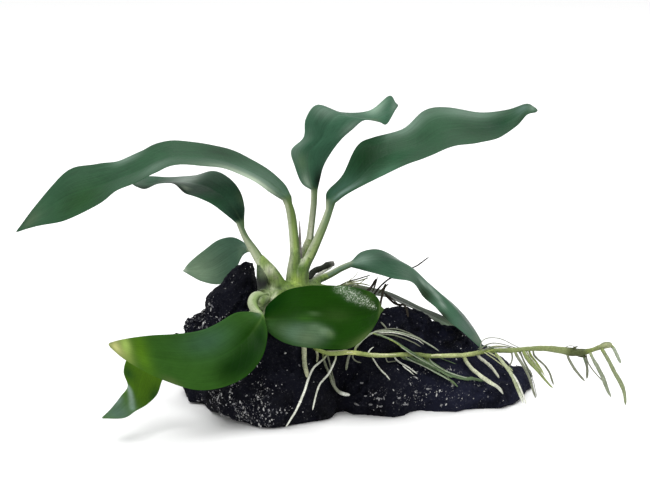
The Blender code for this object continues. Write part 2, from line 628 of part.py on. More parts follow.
def root_path(root, surface):
    """(x, y, z, radius) points along a root, clear of the stone."""
    radii = np.array(root["radius"]) * MM
    lift = root["lift"] * MM
    placed = []
    for point in root["points"]:
        if len(point) == 2:
            placed.append(tuple(on_stone(*point, radii.max() + TOUCHING_GAP + lift, surface)))
        else:
            placed.append(tuple(seen(*point)))
    path = evenly(smooth_curve(placed, 80), 1.2 * MM)
    along = np.linspace(0, len(radii) - 1, len(path))
    path = np.hstack([path, np.interp(along, range(len(radii)), radii)[:, None]])
    return pushed_clear(path, surface)


def build_roots(stone, crown, home):
    ground = surface_of(stone)
    runner = tube("root_runner", evenly(root_path(RUNNER, ground), ROOT_SPACING), "root_cream", home)
    outline = mesh_object("runner_outline", evaluated_mesh(runner), "root_cream", home)
    parent = surface_of(outline)
    bpy.data.objects.remove(outline, do_unlink=True)
    for name, root in ROOTS.items():
        path = evenly(root_path(root, ground), ROOT_SPACING)
        if name not in LOOSE_STARTS:
            path = clear_start(path, crown if name in CROWN_ROOTS else parent, ROOT_SPACING)
        tube("root_" + name, path, "dry_brown" if name in DRY_ROOTS else "root_cream", home)


def main():
    clear_scene()
    parts = collection("anubias_on_stone")
    cutters = collection("cutters")
    stone = build_stone(parts)
    paths = rhizome_paths()
    rhizome = fused_tubes("rhizome", paths, 0, "rhizome_green", parts)
    seat = fused_tubes("rhizome_seat", paths, TOUCHING_GAP * 1.5, "rhizome_green", parts)
    set_aside(seat, cutters)
    cut(stone, seat)
    cut(stone, floor_cutter(cutters))
    clear_slivers(stone)
    crown = surface_of(rhizome)
    build_leaves(crown, parts)
    tube("bract", clear_start(seen_path(BRACT), crown, ROOT_SPACING), "bract_brown", parts)
    tube("dry_stub", clear_start(seen_path(DRY_STUB), crown, ROOT_SPACING / 2), "dry_brown", parts)
    build_roots(stone, crown, parts)


main()
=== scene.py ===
"""Anubias on a black lava stone: the fine shape and the finish of each piece.

The stone, the rhizome with its leaf sheaths, ten leaves, the long root with its side roots, a bract and a dry
stub each stand for their solid in the frame. Lengths are metres unless a name or comment says otherwise.
+Z is up, and +Y points away from the viewer.
"""

import math
from functools import partial

import bmesh
import bpy
import numpy as np
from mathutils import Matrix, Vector, noise
from mathutils.bvhtree import BVHTree


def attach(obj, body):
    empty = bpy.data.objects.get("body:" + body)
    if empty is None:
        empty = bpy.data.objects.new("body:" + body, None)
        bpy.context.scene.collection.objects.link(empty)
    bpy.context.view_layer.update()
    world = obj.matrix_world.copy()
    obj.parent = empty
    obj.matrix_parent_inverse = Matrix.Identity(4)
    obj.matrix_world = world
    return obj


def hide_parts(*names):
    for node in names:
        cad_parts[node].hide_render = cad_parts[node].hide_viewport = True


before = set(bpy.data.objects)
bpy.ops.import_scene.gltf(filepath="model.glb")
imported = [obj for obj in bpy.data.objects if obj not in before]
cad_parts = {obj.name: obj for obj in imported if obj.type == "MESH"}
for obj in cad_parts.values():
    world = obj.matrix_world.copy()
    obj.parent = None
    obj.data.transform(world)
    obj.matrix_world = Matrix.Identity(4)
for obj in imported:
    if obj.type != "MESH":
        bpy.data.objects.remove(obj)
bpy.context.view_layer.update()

MM = 0.001

# The front view that the outlines are read in, 650 by 482 pixels, from 0.6 m away and 15 degrees above
VIEW_COLUMNS, VIEW_ROWS = 650, 482
VIEW_PIXEL = 120 * MM / 347
VIEW_DISTANCE = 600 * MM
VIEW_TILT = math.radians(15)
VIEW_CENTRE = Vector((-8.7, 0, 55)) * MM
SENSOR_WIDTH = 36

# Light: the room's brightness, and the two soft lamps as (name, place, aim, size, watts)
ROOM_LIGHT = 0.85
LAMPS = (("key", (-0.3, -0.5, 1.0), (0, 0, 0.04), (0.7, 0.5), 7),
    ("top", (0.1, 0.3, 1.1), (0, 0, 0.05), (0.9, 0.6), 6))
FLOOR_SIZE = 6

# Stone
# Points of a solid's mesh that lie closer than this are one
MERGE_REACH = 0.02 * MM
STONE_VOXEL = 0.56 * MM
STONE_RELIEF = {"Lump size": 4.5 * MM, "Lump height": 1.6 * MM, "Pore size": 2.4 * MM, "Pore depth": 1.1 * MM,
    "Crumb size": 1.4 * MM, "Crumb height": 1.5 * MM, "Base height": 0.4 * MM}
# Lumps that stand out of the stone: (column, row, depth in mm, radius in mm)
STONE_LUMPS = (((189, 346, -3, 3.4), (181, 340, -3, 2.4), (175.5, 335, -3, 1.3), (174, 333, -3, 0.7)),
    ((193, 334, -3, 2.6), (190, 326, -2, 2.3), (192, 319, -1, 1.6)),
    ((199, 394, -12, 3), (191, 396.5, -12, 2.2), (188, 397, -12, 1.4)),
    ((430, 325.5, 5, 2.3), (438, 329.5, 5, 2.4), (448, 335, 4, 2.3), (456, 340, 2, 2.2)))
# Where the ridge is worn down: from and to along X, how far, and between which heights it sets in, in mm
RIDGE_WEAR, RIDGE_HEIGHTS = (38.5, 54, 4.2), (9, 18)
# Where the front foot is undercut: middle along X, half width and how far up, and the ranges of depth and
# height over which it fades, in mm
FOOT_WEAR, FOOT_DEPTHS, FOOT_HEIGHTS = (-43.5, 7, 2.4), (18, 30), (2, 14)
# Where the stone is rich in mineral: (middle along X and Z, reach along X and Z, in mm, how rich)
ORE_FIELDS = ((-35.5, 6.5, 8, 6.5, 4.5), (16, 5, 9, 5, 0.6), (32, 8, 10, 6, 0.35), (-49, 25, 10, 6.5, 0.8))
ORE_EVERYWHERE, ORE_LEAST, ORE_HEIGHTS = 0.03, 0.01, (0.5, 2)
# How it varies from cluster to cluster and from crumb to crumb: (how often per mm, middle, swing)
ORE_VARIATION = ((0.22, 0.55, 1.6), (0.9, 0.7, 2.2))
SIZE_SEED, STRETCH_SEED, SHADE_SEED = 7, 5, 11
MINERAL_GRAINS = {"Density": 1.9e6, "Smallest": 0.08 * MM, "Largest": 0.42 * MM, "Seed": 3}
# Long pale flakes in the stone's front: (column, row, length in mm)
FLAKES = ((356, 404, 3), (370.5, 404.5, 2.4), (381.5, 406.5, 2), (404, 404.5, 2.8), (415.5, 391.5, 2.2),
    (366, 396, 1.6), (362, 383, 2), (399, 398, 1.4), (428, 389, 1.5), (300, 402, 1.4))
FLAKE_BREADTH, FLAKE_THICKNESS, FLAKE_ROUGHNESS = 0.36 * MM, 0.2 * MM, 0.5
FLAKE_SHADE = 0.3

# Leaves
BLADE_ROWS = 72
BLADE_ROWS_PER_STATION = 1.7
STALK_ROWS, STALK_SAMPLES, STALK_SPACING, STALK_START = 26, 60, 0.9 * MM, 0.8
# Roughly where the upper faces of the leaves point
UPPER_FACE = np.array((0, -0.4, 0.9))
UP_SMOOTHING = 2
BLADE_HALF_THICKNESS, THICKEST_SHARE, RIM_ROUNDING = 0.24 * MM, 0.6, 0.35
MIDRIB_DEPTH, MIDRIB_HALF_WIDTH = 0.45 * MM, 0.9 * MM
GROOVE_DEPTH, GROOVE_HALF_WIDTH = 0.16 * MM, 0.45 * MM
FULL_TROUGH_HALF_WIDTH = 8 * MM
TROUGH_FULLNESS, TROUGH_SHARPNESS, TROUGH_ENDS = 0.7, 1.2, 0.03
FOLD_ROUNDING, FOLD_DROP = 0.003, 0.055
RIB_TAPER, RIB_BREADTH = 4, 1.2
FOOT_SHARE = 0.06
RIPPLE, RIPPLE_LENGTH, RIPPLE_EDGES, RIPPLE_SEED = 0.45 * MM, 9 * MM, (0, 9), 17.3
TIP_LENGTH, TIP_SHARE = 0.4, 0.25
# Where a leaf's section has its points, from an edge to near the midrib
ACROSS_STEPS = (1, 0.975, 0.92, 0.83, 0.72, 0.6, 0.48, 0.36, 0.25, 0.16, 0.09, 0.04)
# Where the stalk's tint passes into the blade's, and how far across and along the dark midrib shows, and how
# dark it is
TINT_CHANGE, MIDRIB_REACH, MIDRIB_RUN, MIDRIB_SHADE = (-0.03, 0.04), 0.12, 0.25, 0.18
# How much the painted highlight and painted shade on a stalk's sides fade from its foot to the blade
STALK_SIDE_LIGHT_FADE = 0.35
# Side veins: how far apart they are and how far they sweep towards the tip, in mm
VEIN_SPACING, VEIN_SWEEP = 3.4, 10

# Roots
ROOT_GAP = 0.12 * MM
ROOT_JOIN_REACH = 3.2 * MM
FLOOR_CLEARANCE = 0.5 * MM
# How far every root stands off the stone beside its radius and lift, in mm
ROOT_STAND_OFF = 0.35
CLEARING_ROUNDS = 7
ROOT_SAMPLES, ROOT_STEP, ROOT_FINE_STEP = 80, 1.2 * MM, 0.35 * MM
# How a root's last few points draw in to a round end
ROOT_ROUNDING = np.sqrt(1 - np.linspace(0.2, 0.97, 5) ** 2)
# Where along a side root its tints are: its start, its own from here to there, and its tip
ROOT_TINT_PLACES = (0, 0.15, 0.75, 0.9)
ROOT_SHAPE = {"Spacing": 0.45 * MM, "Wander": 0.5 * MM, "Wander size": 5 * MM, "Swelling": 0.45,
    "Swelling size": 1.8 * MM, "Sides": 12}
FINE_ROOT_SHAPE = {"Swelling": 0.3, "Sides": 8}
FINE_ROOT_TIP = 0.7
# How much slimmer the living roots and the long root are than the solids that stand for them
ROOT_SLIMNESS, RUNNER_SLIMNESS = 0.78, 0.9

# Rhizome: (column, row, depth in mm, radius in mm)
RHIZOME = ((259, 304, -9, 3), (275, 296, -8, 4.2), (296, 294, -6, 4.6), (320, 296, -2, 4.3),
    (345, 300, 2, 3.6), (362, 305, 4, 2.4))
KNOB_HEART = ((266, 297, -13, 1.8), (262, 300.5, -18, 2), (260.5, 305, -20, 1.5))
OLD_SHEATH = ((258.5, 263, -8, 0.7), (260, 271, -9.5, 1.3), (262, 281, -11, 1.9), (264, 294, -12, 2))
CROWN_VOXEL = 0.34 * MM
CROWN_SOFTENING = 6
SHEATH_REACH, SHEATH_WRAP, SHEATH_SAMPLES, SMALL_SHEATH_SAMPLES = 0.45, 0.14, 26, 20
# How green a sheath is at its foot, and between which shares along it the painted highlight and painted
# shade on its sides start to show
SHEATH_FOOT_SHARE, SHEATH_SIDE_LIGHT_RANGE = 0.1, (0.1, 0.5)
TUBE_SIDES = 14

# Colours, as red, green and blue from 0 to 255
BLACK_GREEN = (6, 42, 26)
DEEP_GREEN = (20, 64, 30)
DARK_GREEN = (34, 76, 46)
MOSS_GREEN = (38, 84, 40)
BLUE_GREEN = (52, 94, 64)
SOFT_BLUE_GREEN = (74, 118, 90)
GREY_GREEN = (94, 126, 104)
LIGHT_GREEN = (104, 142, 104)
GREY_SHEEN = (122, 152, 132)
SOFT_SHEEN = (160, 184, 168)
PALE_SHEEN = (150, 184, 160)
WET_SHEEN = (176, 204, 184)
GLINT = (214, 234, 206)
DEEP_SATURATED = (12, 56, 0)
DARK_SATURATED = (5, 54, 2)
SATURATED_GREEN = (28, 70, 6)
BRIGHT_GREEN = (55, 98, 34)
LIME_GREEN = (90, 134, 30)
YELLOW_GREEN = (142, 172, 76)
CREAM_YELLOW = (236, 240, 154)
SILVER_GREEN = (84, 112, 82)
OLIVE_GREEN = (48, 74, 34)
DULL_GREEN = (86, 110, 58)
STALK_FOOT, STALK_TOP = (146, 170, 92), (118, 146, 88)
# Painted highlight, a pale margin on the lit side only, and painted shade on the other side of stalks and
# sheaths
STALK_LIT_MARGIN, STALK_SHADE = (196, 204, 172), (80, 104, 56)
# The old sheath's dark green is partly its own colour and partly painted shade, for the shade it lies in
STEM_GREEN, SHEATH_GREEN, OLD_SHEATH_SHADED_GREEN = (104, 132, 56), (138, 164, 84), (56, 78, 38)
CROWN_SHADOW = (2, 6, 0)
WHITE, CREAM, GREEN = (226, 228, 214), (172, 176, 138), (92, 114, 80)
PALE, GREY_PALE, ROOT_END = (214, 216, 170), (156, 166, 144), (118, 124, 92)
GREY, BROWN, LIME = (122, 126, 108), (46, 40, 32), (136, 150, 80)
DARK_KNOT, KNOT_GREEN = (60, 62, 34), (66, 74, 36)
# Linear colours of the skins, as red, green, blue and alpha
LAVA_BLACK, LAVA_BLUE = (0.002, 0.002, 0.003, 1), (0.0115, 0.0128, 0.0265, 1)
LAVA_CRUMB, MINERAL_DUST = (0.055, 0.055, 0.07, 1), (0.26, 0.26, 0.27, 1)
GRAIN_DARK, GRAIN_PALE = (0.07, 0.07, 0.09, 1), (0.62, 0.62, 0.6, 1)
# The second is the pale colour of the painted highlight on wet leaves, their glints
STALK_SPOT, WET_GLINT = (0.1, 0.14, 0.04, 1), (0.5, 0.56, 0.46, 1)
CROWN_CLOUD, CROWN_FLECK = (0.42, 0.55, 0.33, 1), (0.3, 0.3, 0.36, 1)
OLD_ROOT = (0.1, 0.125, 0.05, 1)
BRACT_DARK, BRACT_PALE = (0.12, 0.1, 0.09, 1), (0.34, 0.3, 0.3, 1)
# Patterns in the skins, as noise: (how often it repeats in a metre, detail, roughness)
LEAF_WANDER, LEAF_STREAKS, LEAF_MOTTLE = (160, 3, 0.5), (1, 4, 0.5), (90, 6, 0.6)
LEAF_SPOTS, LEAF_GLINT_SPECKS, LEAF_PORES = (1100, 3, 0.7), (1900, 2, 0.7), (1400, 2, 0.5)
LAVA_CLOUDS, LAVA_GRAIN, LAVA_DUST = (70, 4, 0.5), (1000, 5, 0.75), (1500, 3, 0.7)
GRAIN_CLOUDS, FLOOR_CLOUDS = (2500, 3, 0.5), (3, 3, 0.5)
CROWN_CLOUDS, CROWN_FLECKS, CROWN_STREAKS = (260, 3, 0.5), (1500, 3, 0.7), (1, 4, 0.6)
ROOT_CLOUDS, ROOT_WRINKLES, BRACT_STREAKS = (230, 4, 0.6), (2200, 3, 0.6), (1, 3, 0.5)
# How the streaks are drawn out along Z: how often they repeat in a metre along each axis
CROWN_STRETCH, BRACT_STRETCH = (1400, 1400, 110), (2600, 2600, 160)
# The streaks of a leaf: how many across it, and how many in a millimetre along it
STREAKS_ACROSS, STREAKS_ALONG = 22, 0.09
# Most of a noise's values lie in this range
NOISE_RANGE = (0.3, 0.7)
# How deep the fine relief of each skin is
LEAF_BUMP, LAVA_BUMP, CROWN_BUMP, BRACT_BUMP = 0.12 * MM, 0.6 * MM, 0.3 * MM, 0.2 * MM
# How much of its light each gives back, beside the colours above
LEAF_ALBEDO, STALK_ALBEDO = 0.52, 0.72
# The side of stalks and sheaths that faces the light and gets a painted highlight, and where the painted
# highlight and the painted shade on the other side set in
LIT_SIDE = np.array((-0.86, -0.1, 0.5))
LIT_RANGE, SHADED_RANGE = (0.15, 0.9), (0, 0.65)

# Where the crown's tint differs: (column, row, reach in mm, colour), at that depth in mm. The CROWN_SHADOW
# patches are painted shadow, and the pale ones at (258, 293) and (263, 300) painted highlight on the knob's
# lit top
CROWN_PATCHES = ((270, 266, 1.8, (192, 198, 166)), (272, 284, 1.8, (200, 214, 168)),
    (283, 279, 1.4, (104, 134, 56)), (296, 279, 1.8, (170, 196, 92)), (300.5, 268, 2, (84, 118, 40)),
    (307, 277, 1.6, (112, 134, 68)), (309, 237, 0.8, (66, 80, 48)), (300, 252, 0.8, (84, 100, 60)),
    (258, 299, 2, (132, 164, 84)), (263, 300, 1.2, (190, 204, 160)), (280, 283, 1, (74, 100, 44)),
    (276, 273, 1, (128, 140, 96)), (260, 278, 2.6, CROWN_SHADOW), (265.5, 277, 1.3, CROWN_SHADOW),
    (305, 248, 1.5, (196, 204, 164)), (258, 293, 1.6, (190, 206, 158)))
CROWN_PATCH_DEPTH = -5

# Leaves. sheath and stalk: (column, row, depth in mm, radius in mm), from the rhizome to the blade.
# stations: a point on the far edge and one on the near edge, each (column, row, depth in mm), base to tip.
# trough: how far the midrib lies under the line between the edges, in mm; a ridge is negative.
# patches: (place along, place across, reach along, reach across, colour), where 1 across is the far edge and
# -1 the near one. Beside the leaf's own colour changes, many are painted light: painted sheen, glints and
# reflections, painted shade in hollows and where the blade turns from the light, and paler colour that lifts
# parts lying in shade.
# underside: how strongly the patches show on the lower face, where it isn't the same.
# flecks: where the upper face is speckled with painted highlight, the glints of its wet surface, as for the
# patches.
LEAVES = {
    "arching_left": {
        "sheath": ((293, 290, -5, 3), (294, 270, -4, 2.5), (295, 255, -4, 1.9)),
        "stalk": ((295, 255, -4, 1.75), (293.7, 235, -3, 1.6), (291.3, 215, -2, 1.55),
            (287.8, 202, -0.5, 1.3)),
        "stalk_colours": ((164, 188, 104), (88, 110, 58)),
        "stations": (((291.5, 196.5, 0.5), (282.5, 200.5, -0.5)), ((283.5, 183, 4), (270, 192.5, -4)),
            ((262, 165, 7), (250, 179, -9)), ((225, 147.5, 9), (218, 167.5, -12)),
            ((180, 140.5, 9.5), (176, 165.5, -12)), ((158, 143, 9), (156, 172, -11.5)),
            ((140, 151.5, 8), (138, 182, -11)), ((119, 160.5, 8.5), (118, 190, -10.5)),
            ((98, 163.5, 9), (100, 203.5, -10)), ((68, 170.5, 8), (66, 220, -9)),
            ((36, 205, 3), (34, 227, -5)), ((18.5, 228.5, -2), (17, 232, -3.5))),
        "trough": 1.6,
        "colour": BLUE_GREEN,
        "patches": ((0.115, 0.3, 0.1, 0.6, GREY_GREEN), (0.155, -0.3, 0.1, 0.35, GREY_SHEEN),
            (0.16, -0.85, 0.1, 0.3, GLINT), (0.28, 0.6, 0.05, 0.5, DARK_GREEN),
            (0.46, -0.5, 0.08, 0.4, GREY_GREEN), (0.6, 0.9, 0.06, 0.2, GREY_SHEEN),
            (0.78, -0.4, 0.07, 0.7, MOSS_GREEN), (0.93, -0.1, 0.035, 0.8, SILVER_GREEN),
            (0.99, 0.8, 0.03, 0.6, DEEP_GREEN)),
    },
    "curling_left": {
        "sheath": ((280.5, 290, -7, 3.2), (271.3, 274, -8, 2.7), (264, 264, -8, 2.1)),
        "stalk": ((262.5, 264, -8, 1.8), (253.5, 250, -7, 1.5), (245.8, 238, -5, 1.15),
            (240.8, 227, -3.5, 1.05)),
        "stalk_colours": ((180, 194, 150), (92, 118, 82)),
        "stations": (((244, 220, -2), (236.5, 223.5, -4)), ((244.7, 207, 0), (227, 215.5, -6)),
            ((240, 191, 2), (212, 204.5, -7)), ((229, 178, 6), (197.5, 197.5, -6)),
            ((213, 170, 10), (185, 193.5, -2)), ((194, 175.5, 13), (174, 184.5, 2)),
            ((170, 177.5, 15), (160, 183, 5)), ((151, 176, 16), (146, 189, 7)),
            ((139, 177, 14), (137, 187, 9)), ((132.5, 181, 11.5), (132, 184, 10.5))),
        "trough": 1.2,
        "colour": SOFT_BLUE_GREEN,
        "patches": ((0.06, 0, 0.14, 1.5, BLACK_GREEN), (0.18, 0.9, 0.05, 0.3, SILVER_GREEN),
            (0.25, -0.7, 0.07, 0.5, BLUE_GREEN), (0.33, 0, 0.06, 1, (88, 134, 104)),
            (0.56, 0.3, 0.08, 0.9, (198, 216, 202)), (0.92, 0, 0.09, 1, (126, 156, 134)),
            (0.48, -0.7, 0.035, 0.14, GLINT), (0.48, -1, 0.05, 0.13, BLACK_GREEN),
            (0.8, -0.85, 0.07, 0.3, DARK_GREEN)),
    },
    "behind_tower": {
        "sheath": ((276, 286, -5, 2), (268, 273, -2, 1.4), (264, 266, 1, 1.2)),
        "stalk": ((264, 266, 1, 1.1), (259, 257, 6, 1), (251.5, 250.5, 12, 0.9)),
        "stations": (((250, 247.5, 14), (247.5, 251, 13)), ((242, 241, 18), (242, 257, 16)),
            ((231, 237, 21), (237, 268, 19)), ((217, 240.5, 24), (231, 279, 20)),
            ((204, 250, 26), (218, 284.5, 20)), ((193, 259, 26), (202, 281.5, 21)),
            ((187, 265, 26), (191, 276, 23)), ((184, 269.5, 25), (184.5, 272, 24))),
        "trough": 1.4,
        "colour": (90, 136, 108),
        # Its pale far half and tip are painted light, for light shining through the leaf
        "patches": ((0.06, 0.3, 0.08, 0.6, PALE_SHEEN), (0.15, -0.3, 0.1, 0.6, (116, 154, 122)),
            (0.75, 0, 0.24, 1.6, (166, 198, 162)), (0.97, 0.3, 0.08, 1.2, GLINT)),
    },
    "upright": {
        "sheath": ((302, 286, -1, 2.2), (303.5, 262, 1, 2), (307, 247, 2.2, 1.65), (310.3, 237, 2.6, 1.25)),
        "stalk": ((309, 243, 2.5, 1.25), (311.4, 225, 2.5, 1.15), (313.7, 205, 2, 1.1),
            (314.3, 192, 2, 1.1)),
        # The very pale foot is painted highlight, lifting the shade that the stalk lies in
        "stalk_colours": ((238, 240, 214), (104, 124, 88)),
        "stations": (((311, 190, 2), (317.7, 189.5, 2.5)), ((301.5, 183, 0), (320, 180.5, 4)),
            ((294.5, 166, -3), (324, 165.5, 6)), ((291.5, 150, -4), (331.7, 152, 7)),
            ((303.5, 137, 2), (342, 139, 7)), ((305.5, 119, 4), (352, 130, 7)),
            ((317, 105, 9), (361.5, 122, 7)), ((341, 112, 15), (371, 120, 6)),
            ((369, 110.5, 18), (380, 122.5, 7)), ((389, 95.5, 20), (387, 124, 11)),
            ((396, 103, 19), (395.5, 110, 17))),
        "trough": 1.1,
        "colour": (66, 114, 86),
        "patches": ((0.02, 0, 0.05, 0.8, DARK_SATURATED), (0.1, -0.85, 0.1, 0.65, (2, 30, 14)),
            (0.1, 0.45, 0.06, 0.35, (164, 190, 166)), (0.22, 0.5, 0.06, 0.4, LIGHT_GREEN),
            (0.32, 0.85, 0.1, 0.3, GREY_SHEEN), (0.52, -0.9, 0.09, 0.25, GREY_SHEEN),
            (0.58, 0.5, 0.05, 0.5, GREY_SHEEN), (0.83, 0.75, 0.05, 0.5, PALE_SHEEN),
            (0.76, -0.7, 0.05, 0.5, SILVER_GREEN), (0.98, 0.2, 0.05, 0.9, GREY_SHEEN)),
    },
    "long_right": {
        "sheath": ((301, 288, -5, 2.9), (303, 270, -5, 2.2), (310, 256, -4, 1.7)),
        "stalk": ((310, 256, -4, 1.7), (317, 241, -4, 1.55), (325, 222, -3.5, 1.4), (330.3, 207, -3, 1.25)),
        "stalk_colours": ((176, 196, 124), (92, 116, 88)),
        "stations": (((325.8, 201, -2.5), (335.5, 203, -3.5)), ((327.5, 191, 0), (347.5, 194, -7)),
            ((343, 174, 3), (367.5, 183.5, -10)), ((357, 146.5, 6), (388, 173.5, -11)),
            ((374, 137, 8), (411, 162.5, -11)), ((403, 129, 9), (436, 153.5, -10)),
            ((424, 110.5, 11), (457, 145.5, -9)), ((447, 107, 11), (479, 142.5, -9)),
            ((478, 112, 9), (500, 137.5, -8)), ((506, 110, 6), (517, 126, -6)),
            ((526, 103.5, 2), (527, 115, -3)), ((535.5, 107.5, -1), (535.5, 112.5, -2))),
        "trough": 1.8,
        "colour": BLUE_GREEN,
        "patches": ((0, 0.9, 0.05, 0.4, DEEP_GREEN), (0.1, -0.35, 0.07, 0.3, (140, 170, 158)),
            (0.12, 0.3, 0.08, 0.5, (66, 106, 86)), (0.28, 0.4, 0.085, 0.65, (8, 56, 20)),
            (0.48, 0.9, 0.08, 0.25, GREY_SHEEN), (0.7, 0.8, 0.1, 0.3, GREY_SHEEN),
            (0.27, -0.88, 0.07, 0.25, SOFT_BLUE_GREEN), (0.68, -0.3, 0.08, 0.6, DARK_GREEN),
            (0.85, -0.85, 0.06, 0.4, DARK_GREEN), (0.76, -0.1, 0.06, 0.7, (22, 74, 44)),
            (0.37, -0.4, 0.05, 0.4, (32, 90, 54)), (0.89, 0.4, 0.04, 0.5, (104, 138, 122)),
            (0.97, 0.3, 0.04, 0.8, GREY_SHEEN)),
    },
    "drooping_right": {
        "sheath": ((310, 288, -3, 2.5), (317, 281, 1, 1.6), (323, 277.5, 3, 1.3)),
        "stalk": ((323, 278, 3, 1.25), (332, 273.5, 5, 1.2), (340, 269, 7, 1.15), (348, 265.3, 8.5, 1.1)),
        "stalk_colours": ((118, 144, 112), (112, 140, 118)),
        "stations": (((351, 261.5, 9.5), (351, 267, 8)), ((362, 251.5, 13), (369, 272, 4)),
            ((380, 249.5, 16), (391, 278, 2)), ((402, 261.5, 17), (411, 282.5, 1)),
            ((424, 279.5, 16), (424, 297.5, -1)), ((443, 295.5, 13), (437, 309, -3)),
            ((459.5, 309.5, 9), (449, 321, -5)), ((472, 325, 3), (464.5, 333.5, -6)),
            ((481.5, 341, -5), (478.5, 346.5, -7))),
        "trough": -2.4,
        "colour": SOFT_BLUE_GREEN,
        "patches": ((0.08, 0.1, 0.08, 0.5, (148, 180, 160)), (0.05, -0.85, 0.15, 0.3, BLUE_GREEN),
            (0.24, 0.1, 0.05, 0.6, (58, 100, 74)), (0.35, 0.45, 0.05, 0.3, (186, 206, 194)),
            (0.42, 0.15, 0.045, 0.22, (166, 188, 174)), (0.49, 0.08, 0.04, 0.16, (150, 174, 160)),
            (0.37, -0.35, 0.06, 0.3, GREY_GREEN), (0.36, -0.7, 0.05, 0.3, GREY_GREEN),
            (0.52, 0.85, 0.08, 0.3, (176, 196, 184)), (0.57, 0.25, 0.05, 0.25, GREY_GREEN),
            (0.5, -0.8, 0.075, 0.5, (18, 52, 14)), (0.46, -0.3, 0.035, 0.12, SOFT_SHEEN),
            (0.52, -0.2, 0.035, 0.12, SOFT_SHEEN), (0.58, -0.3, 0.035, 0.12, SOFT_SHEEN),
            (0.64, -0.5, 0.035, 0.14, (150, 174, 158)), (0.7, 0.95, 0.1, 0.3, (172, 186, 178)),
            (0.7, -0.95, 0.06, 0.2, (38, 58, 36)), (0.8, 0.3, 0.08, 0.4, (62, 88, 74)),
            (0.86, -0.3, 0.07, 0.6, (96, 122, 108)), (0.88, 0.85, 0.07, 0.3, (150, 158, 154)),
            (0.97, 0, 0.05, 1.2, (112, 130, 112))),
    },
    "front_right": {
        "sheath": ((281, 294, -9, 2.4), (276, 299, -14, 1.6)),
        "stalk": ((276, 299, -14, 1.3), (270, 306, -15, 1.2), (265, 314, -17.5, 1.1),
            (263.5, 318.5, -21.5, 0.9)),
        "stations": (((264.5, 317, -22.5), (265, 321.5, -24)), ((267.5, 305, -20.5), (268.5, 332, -28.5)),
            ((284, 291.5, -20), (284, 342.5, -36)), ((306, 286, -22), (306, 347.5, -41)),
            ((330, 285.5, -27), (332, 349.5, -46)), ((352, 287, -32.5), (352, 347.5, -50)),
            ((369.5, 291.5, -39), (367.5, 336, -51)), ((378, 298, -44), (376.5, 323, -50.5)),
            ((381, 306, -47), (380.5, 313.5, -49))),
        "trough": 1.6,
        "underside": 0.25,
        "colour": SATURATED_GREEN,
        "patches": ((0.13, 0.75, 0.14, 0.4, DARK_SATURATED), (0.15, -0.45, 0.07, 0.4, (60, 98, 48)),
            (0.24, -0.5, 0.06, 0.38, (76, 106, 68)), (0.34, -0.48, 0.06, 0.36, (84, 112, 86)),
            (0.42, -0.6, 0.05, 0.24, (80, 108, 80)), (0.31, -0.58, 0.06, 0.25, (94, 126, 98)),
            (0.38, -0.68, 0.06, 0.26, (98, 122, 90)), (0.41, -0.28, 0.04, 0.14, (94, 122, 90)),
            (0.46, -0.42, 0.03, 0.12, (120, 148, 114)), (0.49, -0.52, 0.02, 0.08, (108, 136, 92)),
            (0.41, 0.13, 0.03, 0.05, (92, 124, 78)), (0.52, 0.1, 0.08, 0.2, (48, 82, 28)),
            (0.36, 0, 0.05, 0.12, BRIGHT_GREEN), (0.57, 0.9, 0.04, 0.13, (96, 130, 84)),
            (0.63, 0.74, 0.04, 0.15, (116, 144, 108)), (0.7, 0.58, 0.04, 0.15, (112, 140, 100)),
            (0.77, 0.4, 0.035, 0.13, (92, 120, 70)), (0.76, 0.8, 0.06, 0.25, (54, 90, 28)),
            (0.7, -0.95, 0.1, 0.2, DULL_GREEN), (0.97, 0, 0.06, 2, (84, 108, 56))),
        "flecks": ((0.57, 0.9, 0.04, 0.1), (0.63, 0.74, 0.05, 0.15), (0.7, 0.58, 0.05, 0.15),
            (0.77, 0.4, 0.04, 0.13), (0.82, 0.24, 0.03, 0.1)),
    },
    "front_left": {
        "sheath": ((268, 297, -10, 2.6), (261, 296, -16, 2.1)),
        "stalk": ((263, 296.5, -16, 1.7), (255.5, 297, -18.5, 1.8), (252.5, 303.5, -21, 1.7),
            (256, 311, -24, 1.4), (261, 314.5, -27, 1)),
        "stalk_colours": ((176, 190, 146), (128, 158, 88)),
        "stations": (((260, 313.5, -29), (265, 319.5, -31)), ((249, 311.5, -30), (267.5, 335, -35.5)),
            ((235, 313, -31), (262, 357.5, -40)), ((218, 323, -35), (246, 376.5, -45)),
            ((200, 330.5, -39), (222, 387.5, -49)), ((178, 333.7, -43), (196, 390, -52)),
            ((155, 335, -47), (170, 382.5, -54)), ((135, 337, -51), (145, 372, -56)),
            ((119, 340, -54), (124, 359, -58)), ((110, 342.5, -58), (110.5, 347.5, -59))),
        "trough": 1.4,
        "colour": BRIGHT_GREEN,
        "patches": ((0.01, 0.7, 0.07, 0.5, SILVER_GREEN), (0.28, -0.55, 0.13, 0.5, DEEP_SATURATED),
            (0.17, -0.5, 0.1, 0.55, DEEP_SATURATED), (0.35, -0.5, 0.085, 0.42, (10, 50, 0)),
            (0.2, 0.05, 0.1, 0.3, SATURATED_GREEN), (0.42, 0.6, 0.13, 0.45, (66, 104, 72)),
            (0.66, -0.92, 0.04, 0.18, DULL_GREEN), (0.77, 0.1, 0.05, 1.4, LIME_GREEN),
            (0.86, 0.1, 0.04, 1.2, YELLOW_GREEN), (0.95, 0, 0.07, 1.2, CREAM_YELLOW),
            (0.85, 0.5, 0.03, 0.5, (180, 212, 108))),
    },
    "twisted_low": {
        "sheath": ((262, 303, -10, 2.4), (256, 310, -13, 1.5)),
        "stalk": ((256, 310, -13, 1.2), (240, 325, -24, 1.1), (215, 342, -36, 1), (190, 348, -38, 0.9),
            (173, 351, -40, 0.9)),
        "stations": (((170, 349, -40), (171, 354, -40)), ((150, 350, -41), (168, 368, -39.5)),
